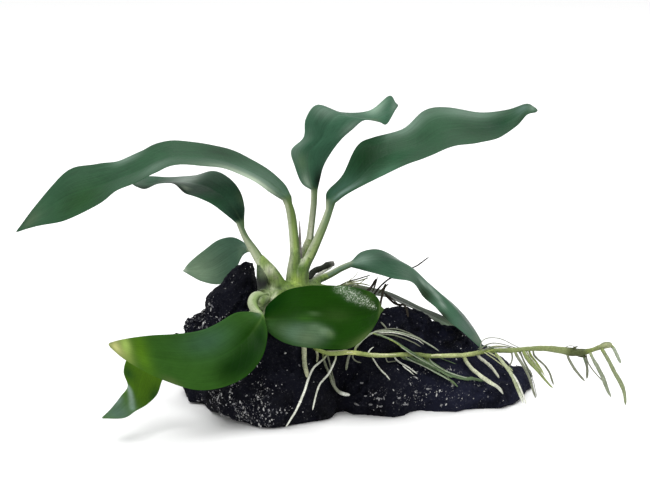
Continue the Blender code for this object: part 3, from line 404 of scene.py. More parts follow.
            ((129.5, 356, -42), (162, 381, -40)), ((123.5, 371, -43), (157, 394.5, -41)),
            ((127.5, 386, -43), (147, 404.5, -43)), ((120.5, 396.5, -45), (136, 411, -48)),
            ((111, 408.5, -48), (124, 418, -52)), ((102.5, 417, -50), (103, 418.5, -50.5))),
        "trough": 0.8,
        "colour": LIME_GREEN,
        "patches": ((0.42, 0.75, 0.06, 0.4, BRIGHT_GREEN), (0.45, -0.95, 0.09, 0.3, BRIGHT_GREEN),
            (0.86, 0, 0.17, 2.5, GREY_GREEN), (0.76, 0.85, 0.05, 0.3, GREY_SHEEN),
            (0.575, 0.9, 0.025, 0.26, WET_SHEEN), (0.6, 0.65, 0.025, 0.26, WET_SHEEN),
            (0.625, 0.4, 0.025, 0.26, WET_SHEEN), (0.65, 0.15, 0.025, 0.26, (170, 198, 178)),
            (0.675, -0.1, 0.025, 0.26, (160, 190, 168)), (0.7, -0.35, 0.025, 0.26, (150, 180, 158)),
            (0.72, -0.6, 0.025, 0.26, PALE_SHEEN)),
    },
    "edge_on_right": {
        "sheath": ((325, 291, 0, 2.2), (335, 289, 6, 1.3)),
        "stalk": ((335, 289, 6, 1), (339, 287.5, 8, 0.9), (343, 287, 9.5, 0.9)),
        "stations": (((344, 283.5, 12), (346, 288.5, 10)), ((360, 285, 20), (364, 293, 12)),
            ((384, 290.5, 26), (386, 297, 14)), ((405, 299, 28), (405, 305, 16)),
            ((425, 308.5, 29), (424, 314.5, 18)), ((446, 318, 28), (443, 326, 20)),
            ((462, 329.5, 26), (459, 335.5, 21)), ((471, 340, 23.5), (470, 342.5, 22.5))),
        "trough": 0.6,
        "colour": OLIVE_GREEN,
        "patches": ((0.12, 0.6, 0.1, 0.6, (88, 108, 52)), (0.45, 0.1, 0.3, 0.45, (34, 50, 34)),
            (0.33, 0, 0.05, 0.8, (24, 42, 18)), (0.67, 0.85, 0.06, 0.5, (14, 32, 8)),
            (0.78, -0.5, 0.1, 0.8, (116, 140, 112))),
    },
}
WET_LEAVES = ("front_left", "front_right", "twisted_low")

# Bract and dry stub: (column, row, depth in mm, radius in mm), and the stub's tints as for a root
BRACT = ((300.5, 266, -2, 0.75), (300, 252, -1, 0.62), (300, 236, 0.2, 0.42), (299.5, 221, 0.5, 0.12))
BRACT_TINTS = ((0, (110, 100, 96)),)
DRY_STUB = ((308.5, 280, 4, 1), (313.5, 272, 8, 1.15), (321, 268.5, 10, 1), (328, 265, 12, 1.15),
    (333.5, 263.5, 13, 0.9))
DRY_STUB_TINTS = ((0, (28, 34, 24)), (0.4, (40, 46, 36)), (0.75, (52, 56, 48)), (1, (130, 128, 122)))

# Roots: points, radius, lift, colour, and the tip's colour where it differs.
# A point is (column, row) where the root lies on the stone, or (column, row, depth in mm) where it is free.
# radius: in mm, at places spread evenly from its start to its tip; lift: how far it stands off the stone, mm.
ROOTS = {
    "stub_left": (((302, 343), (304, 360), (307.5, 377.5)), (1.2, 0.9), 0, (182, 186, 152)),
    "hanging_long": (((328, 356), (317, 364), (312, 370), (308.5, 379), (305, 390), (301, 400),
        (294.5, 413), (286, 427, -38)), (0.42, 0.46, 0.52, 0.36), 1.6, WHITE),
    "hanging_left_arm": (((314, 347), (318, 351), (319, 356),
        (316.5, 362)), (0.6, 0.5), 0.8, (206, 208, 172)),
    "hanging_short": (((337, 357), (333.5, 364), (328, 375), (321, 382), (317, 390),
        (312.5, 410)), (0.36, 0.46, 0.4, 0.32), 2.2, WHITE),
    "hanging_pale": (((323, 358), (327, 369), (331, 379), (335, 390), (341, 393.5),
        (350, 395)), (0.5, 0.6, 0.7, 0.85), 0, GREY, (222, 224, 214)),
    "stub_middle": (((348, 355), (347, 361), (346, 370)), (0.5, 0.7), 0, GREY),
    "arc_far": (((353, 350), (362, 341), (373, 332.5), (392, 331), (412, 336), (425, 342),
        (439, 351)), (0.55, 0.42, 0.4, 0.32), 0.3, (160, 168, 146)),
    "arc_near": (((373, 333.5), (380, 335), (388, 338), (398, 343),
        (405, 349.5)), (0.45, 0.4), 1.2, (120, 136, 104)),
    "slant_middle": (((372, 357), (378, 366), (384, 374), (390, 380)), (0.36, 0.32), 0, WHITE),
    "fork_middle": (((393, 357.5), (400, 363.5), (409, 367), (417, 374)), (0.42, 0.32), 0, WHITE),
    "green_long": (((424, 357.5), (432, 363.5), (441, 370), (451, 375), (463, 378.5), (475, 380),
        (486, 380)), (0.9, 0.9, 0.6), 0.1, GREEN),
    "green_under": (((399, 356.5), (410, 360), (421, 363.5), (432, 370), (441, 375.5), (450, 379),
        (458, 387)), (0.55, 0.6, 0.4), 0.6, GREEN),
    "comb_1": (((463, 358), (470, 367), (479, 374.5, -19), (490, 383, -20), (500, 387, -20),
        (503, 394, -20)), (0.95, 0.85, 0.95, 0.5), 1.4, (200, 204, 176), WHITE),
    "comb_2": (((476, 356), (485, 361.5), (493, 368.5), (499, 378)), (0.75, 0.75, 0.5), 1, (210, 212, 192)),
    "comb_3": (((495, 353, -17), (501, 360, -18), (509, 370, -19), (515, 380, -19), (519, 391, -19),
        (523, 403, -18)), (0.65, 0.75, 0.95, 0.5), 0.3, (176, 184, 148), WHITE),
    "comb_4": (((515, 354, -16), (524, 366, -19), (530, 379, -20),
        (535.5, 398, -20)), (0.65, 0.65, 0.45), 0.3, GREY),
    "comb_5": (((523, 353, -16), (530, 362, -17), (541, 374, -17), (546, 382, -17),
        (553, 388, -17)), (0.75, 1, 0.6, 0.4), 0.3, (132, 144, 92)),
    "comb_6": (((532, 353, -13), (537, 359, -11), (545, 365, -10), (550, 373, -11),
        (553.5, 385, -13)), (0.45, 0.45), 0.3, GREY),
    "comb_7": (((566, 355, -13), (571, 363, -14), (577, 373, -15),
        (585, 381, -15)), (0.55, 0.65, 0.5), 0.3, GREY),
    "comb_8": (((584, 358, -11), (588, 366, -10), (588, 373, -11),
        (587, 379, -12)), (0.65, 0.6), 0.3, GREY),
    "comb_9": (((590, 354, -14), (596, 364, -15), (602, 374, -16), (606, 387, -16),
        (611, 397, -16)), (0.6, 0.85, 1, 0.45), 0.3, (138, 146, 124)),
    "comb_10": (((603, 351, -14), (608, 359, -15), (613, 370, -16), (620, 381, -17), (625, 392, -18),
        (625.5, 405, -18)), (0.8, 0.9, 1.05, 0.45), 0.3, (132, 142, 106)),
    "comb_11": (((612.5, 348, -13), (616.5, 354, -12), (620.5, 363, -11)), (0.8, 0.7), 0.3, GREY_PALE),
    "back_pale": (((311, 280.5, 8), (321, 273, 12), (332, 266.5, 16)), (0.8, 0.65), 0.3, WHITE),
    "back_upright": (((357, 296, 6), (366, 292, 6.5), (372.5, 287, 7),
        (376, 279, 7.5)), (0.7, 0.55), 0.3, BROWN),
    "back_drop": (((386, 284, 8), (383.5, 290, 5), (381.5, 298, 4),
        (379.5, 314)), (0.65, 0.45), 0.4, BROWN),
    "back_run": (((384.5, 293, 7), (391, 301, 8), (400, 308.5, 8), (408, 317)), (0.55, 0.5), 0.6, BROWN),
    "stray": (((367, 303, 8), (377, 290, 9), (388, 279, 12), (398, 275, 18), (409, 269, 22), (419, 265, 24),
        (429, 257, 24)), (0.45, 0.3), 0.3, BROWN),
}
DRY_ROOTS = ("back_upright", "back_drop", "back_run", "stray")
# The long root's points, radius and lift, and its tints as (place along it, colour)
RUNNER = (
    ((311, 345), (317, 350), (325, 353), (335, 354.5), (350, 352), (366, 354.5), (385, 355.5), (405, 354.5),
     (418, 354.5), (430, 356.5), (445, 355.5), (462, 355.5), (474, 353.5), (484, 351), (500, 350.5, -15),
     (520, 350, -15), (540, 348, -14), (560, 350, -13), (573, 352.5, -12.5), (583, 353.5, -12.5),
     (591, 350.5, -12.5), (600, 347, -12.5), (606, 344, -12.5), (612, 345.5, -12.5)),
    (0.7, 0.8, 0.85, 0.85, 0.8, 0.85, 0.85, 0.85, 0.85, 0.9, 0.9, 0.95, 0.9, 1.2, 1.6, 0.85, 1.2),
    1.8)
RUNNER_TINTS = ((0, LIME), (0.09, (150, 166, 96)), (0.13, (200, 204, 128)), (0.17, (150, 166, 92)),
    (0.22, (182, 190, 128)), (0.28, (160, 172, 104)), (0.33, (74, 88, 46)), (0.38, (130, 144, 84)),
    (0.44, (178, 186, 130)), (0.51, (168, 178, 116)), (0.56, (128, 140, 82)), (0.7, (124, 136, 84)),
    (0.85, (120, 130, 84)), (0.87, KNOT_GREEN), (0.91, KNOT_GREEN), (0.93, (110, 122, 62)),
    (1, (150, 154, 118)))
# Fine roots with no solid of their own: the colour, and each root's points, radius in mm and lift. The pale
# strands laid along the fronts of the long root and the green roots are painted highlights.
FINE_ROOTS_AND_HIGHLIGHTS = {
    "fine_roots_grey": (GREY, (
        (((480, 350, -13), (480.5, 340, -11), (488, 338, -10), (497, 337, -10), (505, 340, -10),
          (513, 345, -11), (520, 348, -13)), 0.17, 0),
        (((478, 352, -13), (484, 345, -12), (492, 342.5, -11), (501, 343.5, -12), (510, 346, -12),
          (518, 349, -14)), 0.22, 0),
        (((482, 351, -13), (490, 346.5, -11), (498, 348, -12), (507, 345.5, -11),
          (513, 349, -13)), 0.28, 0),
        (((519, 352, -15), (524, 361, -16), (529, 370, -17), (533, 377, -18)), 0.36, 0),
        (((511, 351, -16), (514, 357, -16.5), (513, 363, -17), (509, 367, -17)), 0.32, 0),
        (((518, 352, -16), (527, 365, -17), (533, 379, -17), (537, 397, -17)), 0.16, 0),
        (((562, 350, -13), (567, 345, -12), (576, 344.5, -12), (577, 351, -12)), 0.14, 0),
        (((586, 356, -12), (588, 364, -12), (595, 372.5, -13), (603, 382, -14)), 0.26, 0),
        (((609, 345, -12), (612, 347, -12), (616, 354, -12), (617, 357, -12)), 0.24, 0),
        (((328, 356), (330, 366), (333, 378), (336, 390)), 0.34, 0.3),
        (((350, 358), (355, 362), (361, 363)), 0.28, 0.2),
        (((374, 334.5), (392, 334.5), (408, 340), (421, 347)), 0.27, 0.4),
        (((374, 331.5), (391, 328.5), (409, 333), (422, 340), (434, 348)), 0.26, 0.2),
        (((386, 364), (392, 362), (398, 360.5)), 0.22, 0.2),
        (((444, 371), (449, 379), (454, 386)), 0.26, 0.2),
        (((381, 322), (384, 325), (387, 329)), 0.4, 0.1))),
    "fine_roots_cream": (CREAM, (
        (((484, 350, -12), (492, 346, -10.5), (500, 345.5, -10), (509, 347, -11), (517, 350, -13)), 0.3, 0),
        (((521, 352, -15), (527, 359, -15), (536, 366, -15), (541, 371, -16)), 0.26, 0),
        (((341, 286, 8), (349, 281, 9), (356, 276, 10), (359, 271, 11)), 0.16, 0),
        (((345, 285, 8), (353, 282.5, 9), (362, 283.5, 10), (370, 286, 10)), 0.32, 0),
        (((347, 283, 9), (355, 281, 10), (363, 280.5, 10), (369, 277.5, 11)), 0.3, 0),
        (((352, 287, 9), (358, 284.5, 10), (364, 281.5, 10), (368, 276.5, 10)), 0.2, 0),
        (((484, 352, -16), (493, 358, -17), (502, 365, -18), (510, 369, -18)), 0.24, 0),
        (((488, 352, -16), (497, 357, -17), (506, 364, -18), (513, 371, -19)), 0.3, 0),
        (((526, 352, -15), (535, 364, -16), (544, 374, -16), (545, 376, -16)), 0.3, 0),
        (((326, 349), (331, 352.5), (340, 352), (348, 350)), 0.42, 2.2))),
    "fine_roots_white": (WHITE, (
        (((513, 374, -20), (520, 386, -20), (526, 404, -19)), 0.34, 0),
        (((367, 353), (370, 348), (374, 347)), 0.32, 1.5),
        (((376, 333), (394, 332.5), (411, 337.5), (424, 344.5)), 0.2, 0.5),
        (((402, 365.5), (408, 371), (414, 375)), 0.26, 0.2))),
    "fine_roots_green": (GREEN, (
        (((478, 349, -13), (486, 344, -11), (490, 346, -11), (496, 350, -13)), 0.2, 0),
        (((492, 352, -15), (500, 359, -16), (507, 366, -17), (513, 369, -18)), 0.2, 0),
        (((582, 353, -13), (583, 357, -13), (586, 363, -13)), 0.3, 0),
        (((392, 340), (402, 346), (411, 352), (419, 357.5), (428, 363), (438, 369)), 0.42, 3.4),
        (((407, 356), (422, 362), (437, 369.5), (452, 377.5)), 0.42, 2.3),
        (((436, 357), (446, 360), (456, 364)), 0.22, 0.3))),
    "fine_roots_lime": (LIME, (
        (((486, 352, -14), (494, 349, -12), (503, 350, -12.5), (512, 348.5, -13)), 0.36, 0),
        (((528, 352, -14), (535, 361, -15), (541, 368, -15.5), (544, 375, -16)), 0.42, 0),
        (((604, 345, -12), (607, 341.5, -12), (612, 341.5, -12.5), (612.5, 346, -13)), 0.45, 0),
        (((319, 350), (325, 354), (333, 355.5)), 0.5, 1.6),
        (((388, 338.5), (400, 345), (412, 355), (424, 361)), 0.22, 3.6))),
    # Pale strands laid along the front of the long root: painted highlights on it
    "runner_highlight_strands": (PALE, (
        (((364, 353.5), (374, 354), (386, 354.8), (397, 354.4)), 0.34, 3.7),
        (((428, 355.7), (440, 355), (455, 354.8), (469, 354)), 0.36, 3.7),
        (((337, 354.2), (345, 352), (353, 352.6)), 0.36, 3.7))),
    # Grey-white strands laid along the fronts of the green roots: painted sheen on them
    "green_root_highlight_strands": (GREY_PALE, (
        (((404, 357.5), (419, 364), (435, 372), (450, 380.5)), 0.2, 2.9),
        (((428, 359.5), (438, 367), (450, 373.3), (464, 377.3), (477, 379)), 0.2, 1.85),
        (((400, 346), (412, 354.5), (424, 361.5), (434, 366.5)), 0.18, 4.1))),
    "knot_lumps": (DARK_KNOT, (
        (((570, 350.5, -13), (575, 349.5, -11.5), (581, 351, -11.5), (586, 350, -12.5)), 0.75, 0),
        (((572, 353, -12), (577, 356, -12), (582, 355.5, -12), (587, 357, -13)), 0.7, 0),
        (((571, 349, -13.5), (574, 346, -13), (578, 346.5, -13)), 0.45, 0),
        (((583, 352, -12), (585, 357, -12), (584, 360, -12.5)), 0.5, 0),
        (((339, 286, 8), (346, 281.5, 9), (356, 279.5, 10), (365, 277, 11), (371, 274.5, 11)), 0.3, 0))),
    "end_lumps": (ROOT_END, (
        (((599, 347.5, -12.5), (602, 343.5, -12), (607, 341.8, -12), (611.5, 343.5, -12.5)), 0.75, 0),
        (((601, 348.5, -13), (606, 348.5, -12), (610, 346, -12.5)), 0.6, 0))),
    "fine_roots_dry": (BROWN, (
        (((372, 292, 7), (375.5, 285, 7), (377.5, 277, 8)), 0.36, 0),
        (((378, 294, 6), (383, 288, 6.5), (389, 284, 7)), 0.42, 0),
        (((383, 292, 6), (389, 296, 7), (396, 302, 7.5), (400, 309, 8)), 0.28, 0))),
}


def linear(colour):
    """Linear red, green and blue of a colour given from 0 to 255."""
    share = np.array(colour, float) / 255
    return np.where(share <= 0.04045, share / 12.92, ((share + 0.055) / 1.055) ** 2.4)


def sight_line(column, row):
    """Where the view's eye is, and the way from it to that pixel."""
    forward = Vector((0, math.cos(VIEW_TILT), -math.sin(VIEW_TILT)))
    upward = Vector((0, math.sin(VIEW_TILT), math.cos(VIEW_TILT)))
    eye = VIEW_CENTRE - forward * VIEW_DISTANCE
    across = (column - VIEW_COLUMNS / 2) * VIEW_PIXEL
    rise = (VIEW_ROWS / 2 - row) * VIEW_PIXEL
    return eye, VIEW_CENTRE + Vector((across, 0, 0)) + upward * rise - eye


def seen(column, row, depth):
    """The point that the view shows at that pixel, depth mm behind the stone's middle."""
    eye, way = sight_line(column, row)
    return eye + way * ((depth * MM - eye.y) / way.y)


def smooth_curve(points, samples):
    """Samples of the Catmull-Rom curve through the points (rows of any number of values)."""
    at = np.array(points, float)
    at = np.vstack([2 * at[0] - at[1], at, 2 * at[-1] - at[-2]])
    where = np.linspace(0, len(points) - 1, samples)
    first = np.minimum(where.astype(int), len(points) - 2)
    t = (where - first)[:, None]
    a, b, c, d = (at[first + k] for k in range(4))
    bend, twist = 2 * a - 5 * b + 4 * c - d, 3 * b - a - 3 * c + d
    return (2 * b + (c - a) * t + bend * t ** 2 + twist * t ** 3) / 2


def distances(points):
    """How far each point lies along the line through them."""
    steps = np.linalg.norm(np.diff(points, axis=0), axis=1)
    return np.concatenate([[0], np.cumsum(steps)])


def evenly(path, spacing):
    """The path with its points spread evenly, about that far apart."""
    along = distances(path[:, :3])
    at = np.linspace(0, along[-1], max(3, round(along[-1] / spacing) + 1))
    return np.stack([np.interp(at, along, values) for values in path.T], axis=1)


def seen_path(points, samples=40):
    """(x, y, z, radius) samples, in metres, of the curve through (column, row, depth, radius) points."""
    placed = [(*seen(column, row, depth), radius * MM) for column, row, depth, radius in points]
    return smooth_curve(placed, samples)


def unit(vector):
    return vector / np.linalg.norm(vector)


def carried_frames(path, across):
    """A pair of directions across the path at each of its points, carried along from the given first one."""
    pairs = []
    for forward in np.gradient(path[:, :3], axis=0):
        forward = unit(forward)
        across = unit(across - forward * (across @ forward))
        pairs.append((across, np.cross(forward, across)))
    return pairs


def smooth_share(low, high, value):
    """0 up to low, 1 from high, and a smooth rise between them."""
    t = np.clip((value - low) / (high - low), 0, 1)
    return t * t * (3 - 2 * t)


def bell(*offsets):
    """1 where every offset is 0, and less the further they are from it, with little left at 2."""
    return np.exp(-sum(offset ** 2 for offset in offsets))


def give(socket, value):
    """Sets an input to a value, or joins it to another node's output."""
    if isinstance(value, bpy.types.NodeSocket):
        socket.id_data.links.new(value, socket)
    else:
        socket.default_value = value


def node(tree, kind, inputs=None, **settings):
    """A node with those settings and inputs."""
    made = tree.nodes.new(kind)
    for name, value in settings.items():
        setattr(made, name, value)
    for key, value in (inputs or {}).items():
        give(made.inputs[key], value)
    return made


def reckon(operation, *values):
    """What the sum gives, in the tree that its values come from."""
    tree = next(value.id_data for value in values if isinstance(value, bpy.types.NodeSocket))
    return node(tree, "ShaderNodeMath", dict(enumerate(values)), operation=operation).outputs[0]


plus, minus, times, over, power, times_plus, cosine = (
    partial(reckon, operation)
    for operation in ("ADD", "SUBTRACT", "MULTIPLY", "DIVIDE", "POWER", "MULTIPLY_ADD", "COSINE"))


def scaled(vector, factor):
    made = node(vector.id_data, "ShaderNodeVectorMath", {0: vector, "Scale": factor}, operation="SCALE")
    return made.outputs["Vector"]


def vector_of(tree, x, y, z=0.0):
    return node(tree, "ShaderNodeCombineXYZ", {"X": x, "Y": y, "Z": z}).outputs[0]


def coordinate(vector, axis):
    return node(vector.id_data, "ShaderNodeSeparateXYZ", {0: vector}).outputs[axis]


def noise_at(place, scale, detail, roughness=0.5, output="Fac"):
    inputs = {"Vector": place, "Scale": scale, "Detail": detail, "Roughness": roughness}
    return node(place.id_data, "ShaderNodeTexNoise", inputs).outputs[output]


def streaks_at(place, stretch, pattern):
    """Noise that is drawn out by the three factors of the stretch."""
    stretched = node(place.id_data, "ShaderNodeMapping", {"Vector": place, "Scale": stretch}).outputs[0]
    return noise_at(stretched, *pattern)


def between(value, low, high, bottom=0.0, top=1.0):
    """The value spread from low and high to bottom and top, and held there beyond."""
    inputs = {"Value": value, "From Min": low, "From Max": high, "To Min": bottom, "To Max": top}
    return node(value.id_data, "ShaderNodeMapRange", inputs).outputs["Result"]


def mixed(share, first, second, blend="MIX"):
    inputs = {0: share, 6: first, 7: second}
    return node(share.id_data, "ShaderNodeMix", inputs, data_type="RGBA", blend_type=blend).outputs[2]


def material(name):
    """A new material: itself, its tree, its shader and the place on the object."""
    made = bpy.data.materials.new(name)
    made.use_nodes = True
    tree = made.node_tree
    return made, tree, tree.nodes["Principled BSDF"], node(tree, "ShaderNodeTexCoord").outputs["Object"]


def attribute(tree, name, output="Fac"):
    return node(tree, "ShaderNodeAttribute", attribute_name=name).outputs[output]


def set_skin(shader, colour, roughness, specular=0.5, height=None, depth=0.0):
    """Gives a shader its colour, roughness and shine, and its relief with how deep that is."""
    for name, value in (("Base Color", colour), ("Roughness", roughness), ("Specular IOR Level", specular)):
        give(shader.inputs[name], value)
    if height is not None:
        bump = node(colour.id_data, "ShaderNodeBump", {"Height": height, "Distance": depth, "Strength": 1.0})
        give(shader.inputs["Normal"], bump.outputs["Normal"])


def leaf_skin(name, roughness, specular, streaks):
    """Leaf surface: its own tint, fine mottling, side veins that curve towards the tip, and a pale midrib."""
    made, tree, shader, place = material(name)
    run, across, blade, glinted = (attribute(tree, word) for word in ("run", "across", "blade", "fleck"))
    tint = attribute(tree, "tint", "Color")
    aside = reckon("ABSOLUTE", across)
    swept = minus(run, times(power(aside, 1.5), VEIN_SWEEP))
    phase = plus(over(swept, VEIN_SPACING), times(noise_at(place, *LEAF_WANDER), 0.5))
    wave = times_plus(cosine(times(phase, math.tau)), 0.5, 0.5)
    vein = times(times(power(wave, 9.0), between(aside, 0.55, 0.98, 1.0, 0.0)), blade)
    finer_veins = cosine(times(phase, 5 * math.tau))
    midrib = times(between(aside, 0.015, 0.07, 1.0, 0.0), blade)
    flow = vector_of(tree, times(across, STREAKS_ACROSS), times(run, STREAKS_ALONG))
    streak = noise_at(flow, *LEAF_STREAKS)
    mottle = noise_at(place, *LEAF_MOTTLE)
    shade = between(streak, *NOISE_RANGE, 1 - streaks, 1 + streaks)
    shade = plus(shade, between(mottle, *NOISE_RANGE, -0.16, 0.16))
    pale = scaled(tint, 1.7)
    rise = reckon("MAXIMUM", times(vein, 0.05), times(midrib, 0.12))
    colour = mixed(rise, scaled(tint, shade), pale)
    spots = between(noise_at(place, *LEAF_SPOTS), 0.56, 0.68, 0.0, 0.45)
    colour = mixed(times(spots, minus(1.0, blade)), colour, STALK_SPOT)
    colour = mixed(times(between(aside, 0.95, 1.0, 0.0, 0.45), blade), colour, pale)
    # Painted highlight: the glints of a wet surface, speckled where the leaf is marked for them
    fleck = times(glinted, between(noise_at(place, *LEAF_GLINT_SPECKS), 0.5, 0.62))
    colour = mixed(fleck, colour, WET_GLINT)
    gloss = between(mottle, *NOISE_RANGE, roughness - 0.06, roughness + 0.08)
    height = times_plus(vein, -0.2, times(noise_at(place, *LEAF_PORES), 0.3))
    for layer, share in ((finer_veins, 0.03), (streak, 4 * streaks), (fleck, 1.5)):
        height = times_plus(layer, share, height)
    set_skin(shader, colour, gloss, specular, height, LEAF_BUMP)
    return made


def lava_stone():
    """Black lava: almost black with a blue cast, paler on its crumbs, and dusted with pale mineral."""
    made, tree, shader, place = material("lava_stone")
    grain = noise_at(place, *LAVA_GRAIN)
    dust = noise_at(place, *LAVA_DUST)
    along = between(coordinate(place, "X"), 0.01, 0.04, 0.25, 1.0)
    blue = times(along, between(noise_at(place, *LAVA_CLOUDS), 0.3, 0.5))
    crumb = times(between(attribute(tree, "relief"), 0.0, 0.5), between(grain, 0.5, 0.66))
    speck = times(between(dust, 0.6, 0.68), between(attribute(tree, "ore"), 0.02, 0.5, 0.12, 1.0))
    colour = mixed(crumb, mixed(blue, LAVA_BLACK, LAVA_BLUE), LAVA_CRUMB)
    colour = mixed(speck, colour, MINERAL_DUST)
    height = plus(grain, times(dust, 0.4))
    set_skin(shader, colour, between(grain, *NOISE_RANGE, 0.55, 0.95), 0.05, height, LAVA_BUMP)
    return made


def mineral_grain():
    """Pale crystals in the lava: grey to cream, with a slight glassy shine."""
    made, tree, shader, place = material("mineral_grain")
    shade = attribute(tree, "shade")
    dull = between(noise_at(place, *GRAIN_CLOUDS), 0.35, 0.65, 0.6, 1.0)
    colour = scaled(mixed(shade, GRAIN_DARK, GRAIN_PALE), dull)
    set_skin(shader, colour, between(shade, 0.0, 1.0, 0.5, 0.25))
    return made


def crown_skin():
    """Rhizome and sheaths: their own tint, streaked lengthwise, with darker patches and a few dark flecks."""
    made, tree, shader, place = material("crown_skin")
    streak = streaks_at(place, CROWN_STRETCH, CROWN_STREAKS)
    cloud = noise_at(place, *CROWN_CLOUDS)
    fleck = noise_at(place, *CROWN_FLECKS)
    colour = scaled(attribute(tree, "tint", "Color"), between(streak, 0.32, 0.68, 0.72, 1.3))
    colour = mixed(between(cloud, 0.5, 0.66, 0.0, 0.55), colour, CROWN_CLOUD, "MULTIPLY")
    colour = mixed(between(fleck, 0.56, 0.68, 0.0, 0.7), colour, CROWN_FLECK, "MULTIPLY")
    set_skin(shader, colour, between(cloud, *NOISE_RANGE, 0.36, 0.55), 0.3, streak, CROWN_BUMP)
    return made


def root_skin(name, roughness, wrinkle, ageing):
    """Root surface: its own tint, ringed with fine wrinkles, and darker, older stretches where it ages."""
    made, tree, shader, place = material(name)
    cloud = noise_at(place, *ROOT_CLOUDS)
    fine = noise_at(place, *ROOT_WRINKLES)
    colour = attribute(tree, "tint", "Color")
    if ageing:
        colour = mixed(between(cloud, 0.48, 0.7, 0.0, ageing), colour, OLD_ROOT)
    colour = scaled(colour, between(fine, *NOISE_RANGE, 0.62, 1.25))
    gloss = between(cloud, *NOISE_RANGE, roughness - 0.08, roughness + 0.1)
    set_skin(shader, colour, gloss, 0.2, fine, wrinkle)
    return made


def papery_bract():
    """Dry bract: purple-grey, streaked from end to end."""
    made, _, shader, place = material("papery_bract")
    streak = streaks_at(place, BRACT_STRETCH, BRACT_STREAKS)
    colour = mixed(between(streak, 0.35, 0.65), BRACT_DARK, BRACT_PALE)
    set_skin(shader, colour, 0.6, height=streak, depth=BRACT_BUMP)
    return made


def pale_floor():
    """Floor: a plain off-white."""
    made, _, shader, place = material("pale_floor")
    set_skin(shader, between(noise_at(place, *FLOOR_CLOUDS), *NOISE_RANGE, 0.9, 0.92), 0.9)
    return made


def tree_with(name, values):
    """An empty tree for shapes, with an input for each named value and for a material; and its input node."""
    tree = bpy.data.node_groups.new(name, "GeometryNodeTree")
    tree.interface.new_socket("Geometry", in_out="OUTPUT", socket_type="NodeSocketGeometry")
    kinds = {label: "Int" if isinstance(value, int) else "Float" for label, value in values.items()}
    for label, kind in {"Geometry": "Geometry", **kinds, "Material": "Material"}.items():
        tree.interface.new_socket(label, in_out="INPUT", socket_type="NodeSocket" + kind)
    return tree, tree.nodes.new("NodeGroupInput").outputs


def ended(tree, geometry, look):
    """The tree, with the geometry as its result: made real, and with its material set."""
    whole = node(tree, "GeometryNodeRealizeInstances", {"Geometry": geometry}).outputs[0]
    dressed = node(tree, "GeometryNodeSetMaterial", {"Geometry": whole, "Material": look}).outputs[0]
    node(tree, "NodeGroupOutput", {"Geometry": dressed})
    return tree


def stored(tree, name):
    """The number that each point holds under that name."""
    made = node(tree, "GeometryNodeInputNamedAttribute", {"Name": name}, data_type="FLOAT")
    return made.outputs["Attribute"]


def storing(geometry, name, value):
    inputs = {"Geometry": geometry, "Name": name, "Value": value}
    kind = "GeometryNodeStoreNamedAttribute"
    return node(geometry.id_data, kind, inputs, data_type="FLOAT", domain="POINT").outputs[0]


def shifted(geometry, offset):
    inputs = {"Geometry": geometry, "Offset": offset}
    return node(geometry.id_data, "GeometryNodeSetPosition", inputs).outputs[0]


def any_way(place, scale, detail):
    """Noise as a vector that points any way."""
    drift = noise_at(place, scale, detail, output="Color")
    halves = (0.5, 0.5, 0.5)
    return node(place.id_data, "ShaderNodeVectorMath", {0: drift, 1: halves}, operation="SUBTRACT").outputs[0]


def chance(tree, low, high, seed):
    inputs = {2: low, 3: high, "Seed": seed}
    return node(tree, "FunctionNodeRandomValue", inputs, data_type="FLOAT").outputs[1]


def stone_relief_tree():
    """Works lumps, open pores and a crumbly surface into the stone, and leaves its flat underside alone."""
    tree, given = tree_with("stone_relief", STONE_RELIEF)
    place = node(tree, "GeometryNodeInputPosition").outputs[0]
    lumps = noise_at(place, over(1.0, given["Lump size"]), 3, 0.55)
    crumbs = noise_at(place, over(1.0, given["Crumb size"]), 4, 0.65)
    pores = node(tree, "ShaderNodeTexVoronoi", {
        "Vector": place, "Scale": over(1.0, given["Pore size"]), "Randomness": 1.0, "Smoothness": 0.35},
        feature="SMOOTH_F1").outputs["Distance"]
    pit = times(between(pores, 0.2, 0.52, 1.0, 0.0), between(noise_at(place, 110.0, 2), 0.42, 0.6))
    height = times(minus(lumps, 0.5), given["Lump height"])
    height = times_plus(minus(crumbs, 0.5), given["Crumb height"], height)
    height = minus(height, times(pit, given["Pore depth"]))
    free = between(coordinate(place, "Z"), given["Base height"], times(given["Base height"], 5.0))
    kept = storing(given["Geometry"], "relief", over(height, given["Lump height"]))
    outward = node(tree, "GeometryNodeInputNormal").outputs[0]
    return ended(tree, shifted(kept, scaled(outward, times(height, free))), given["Material"])


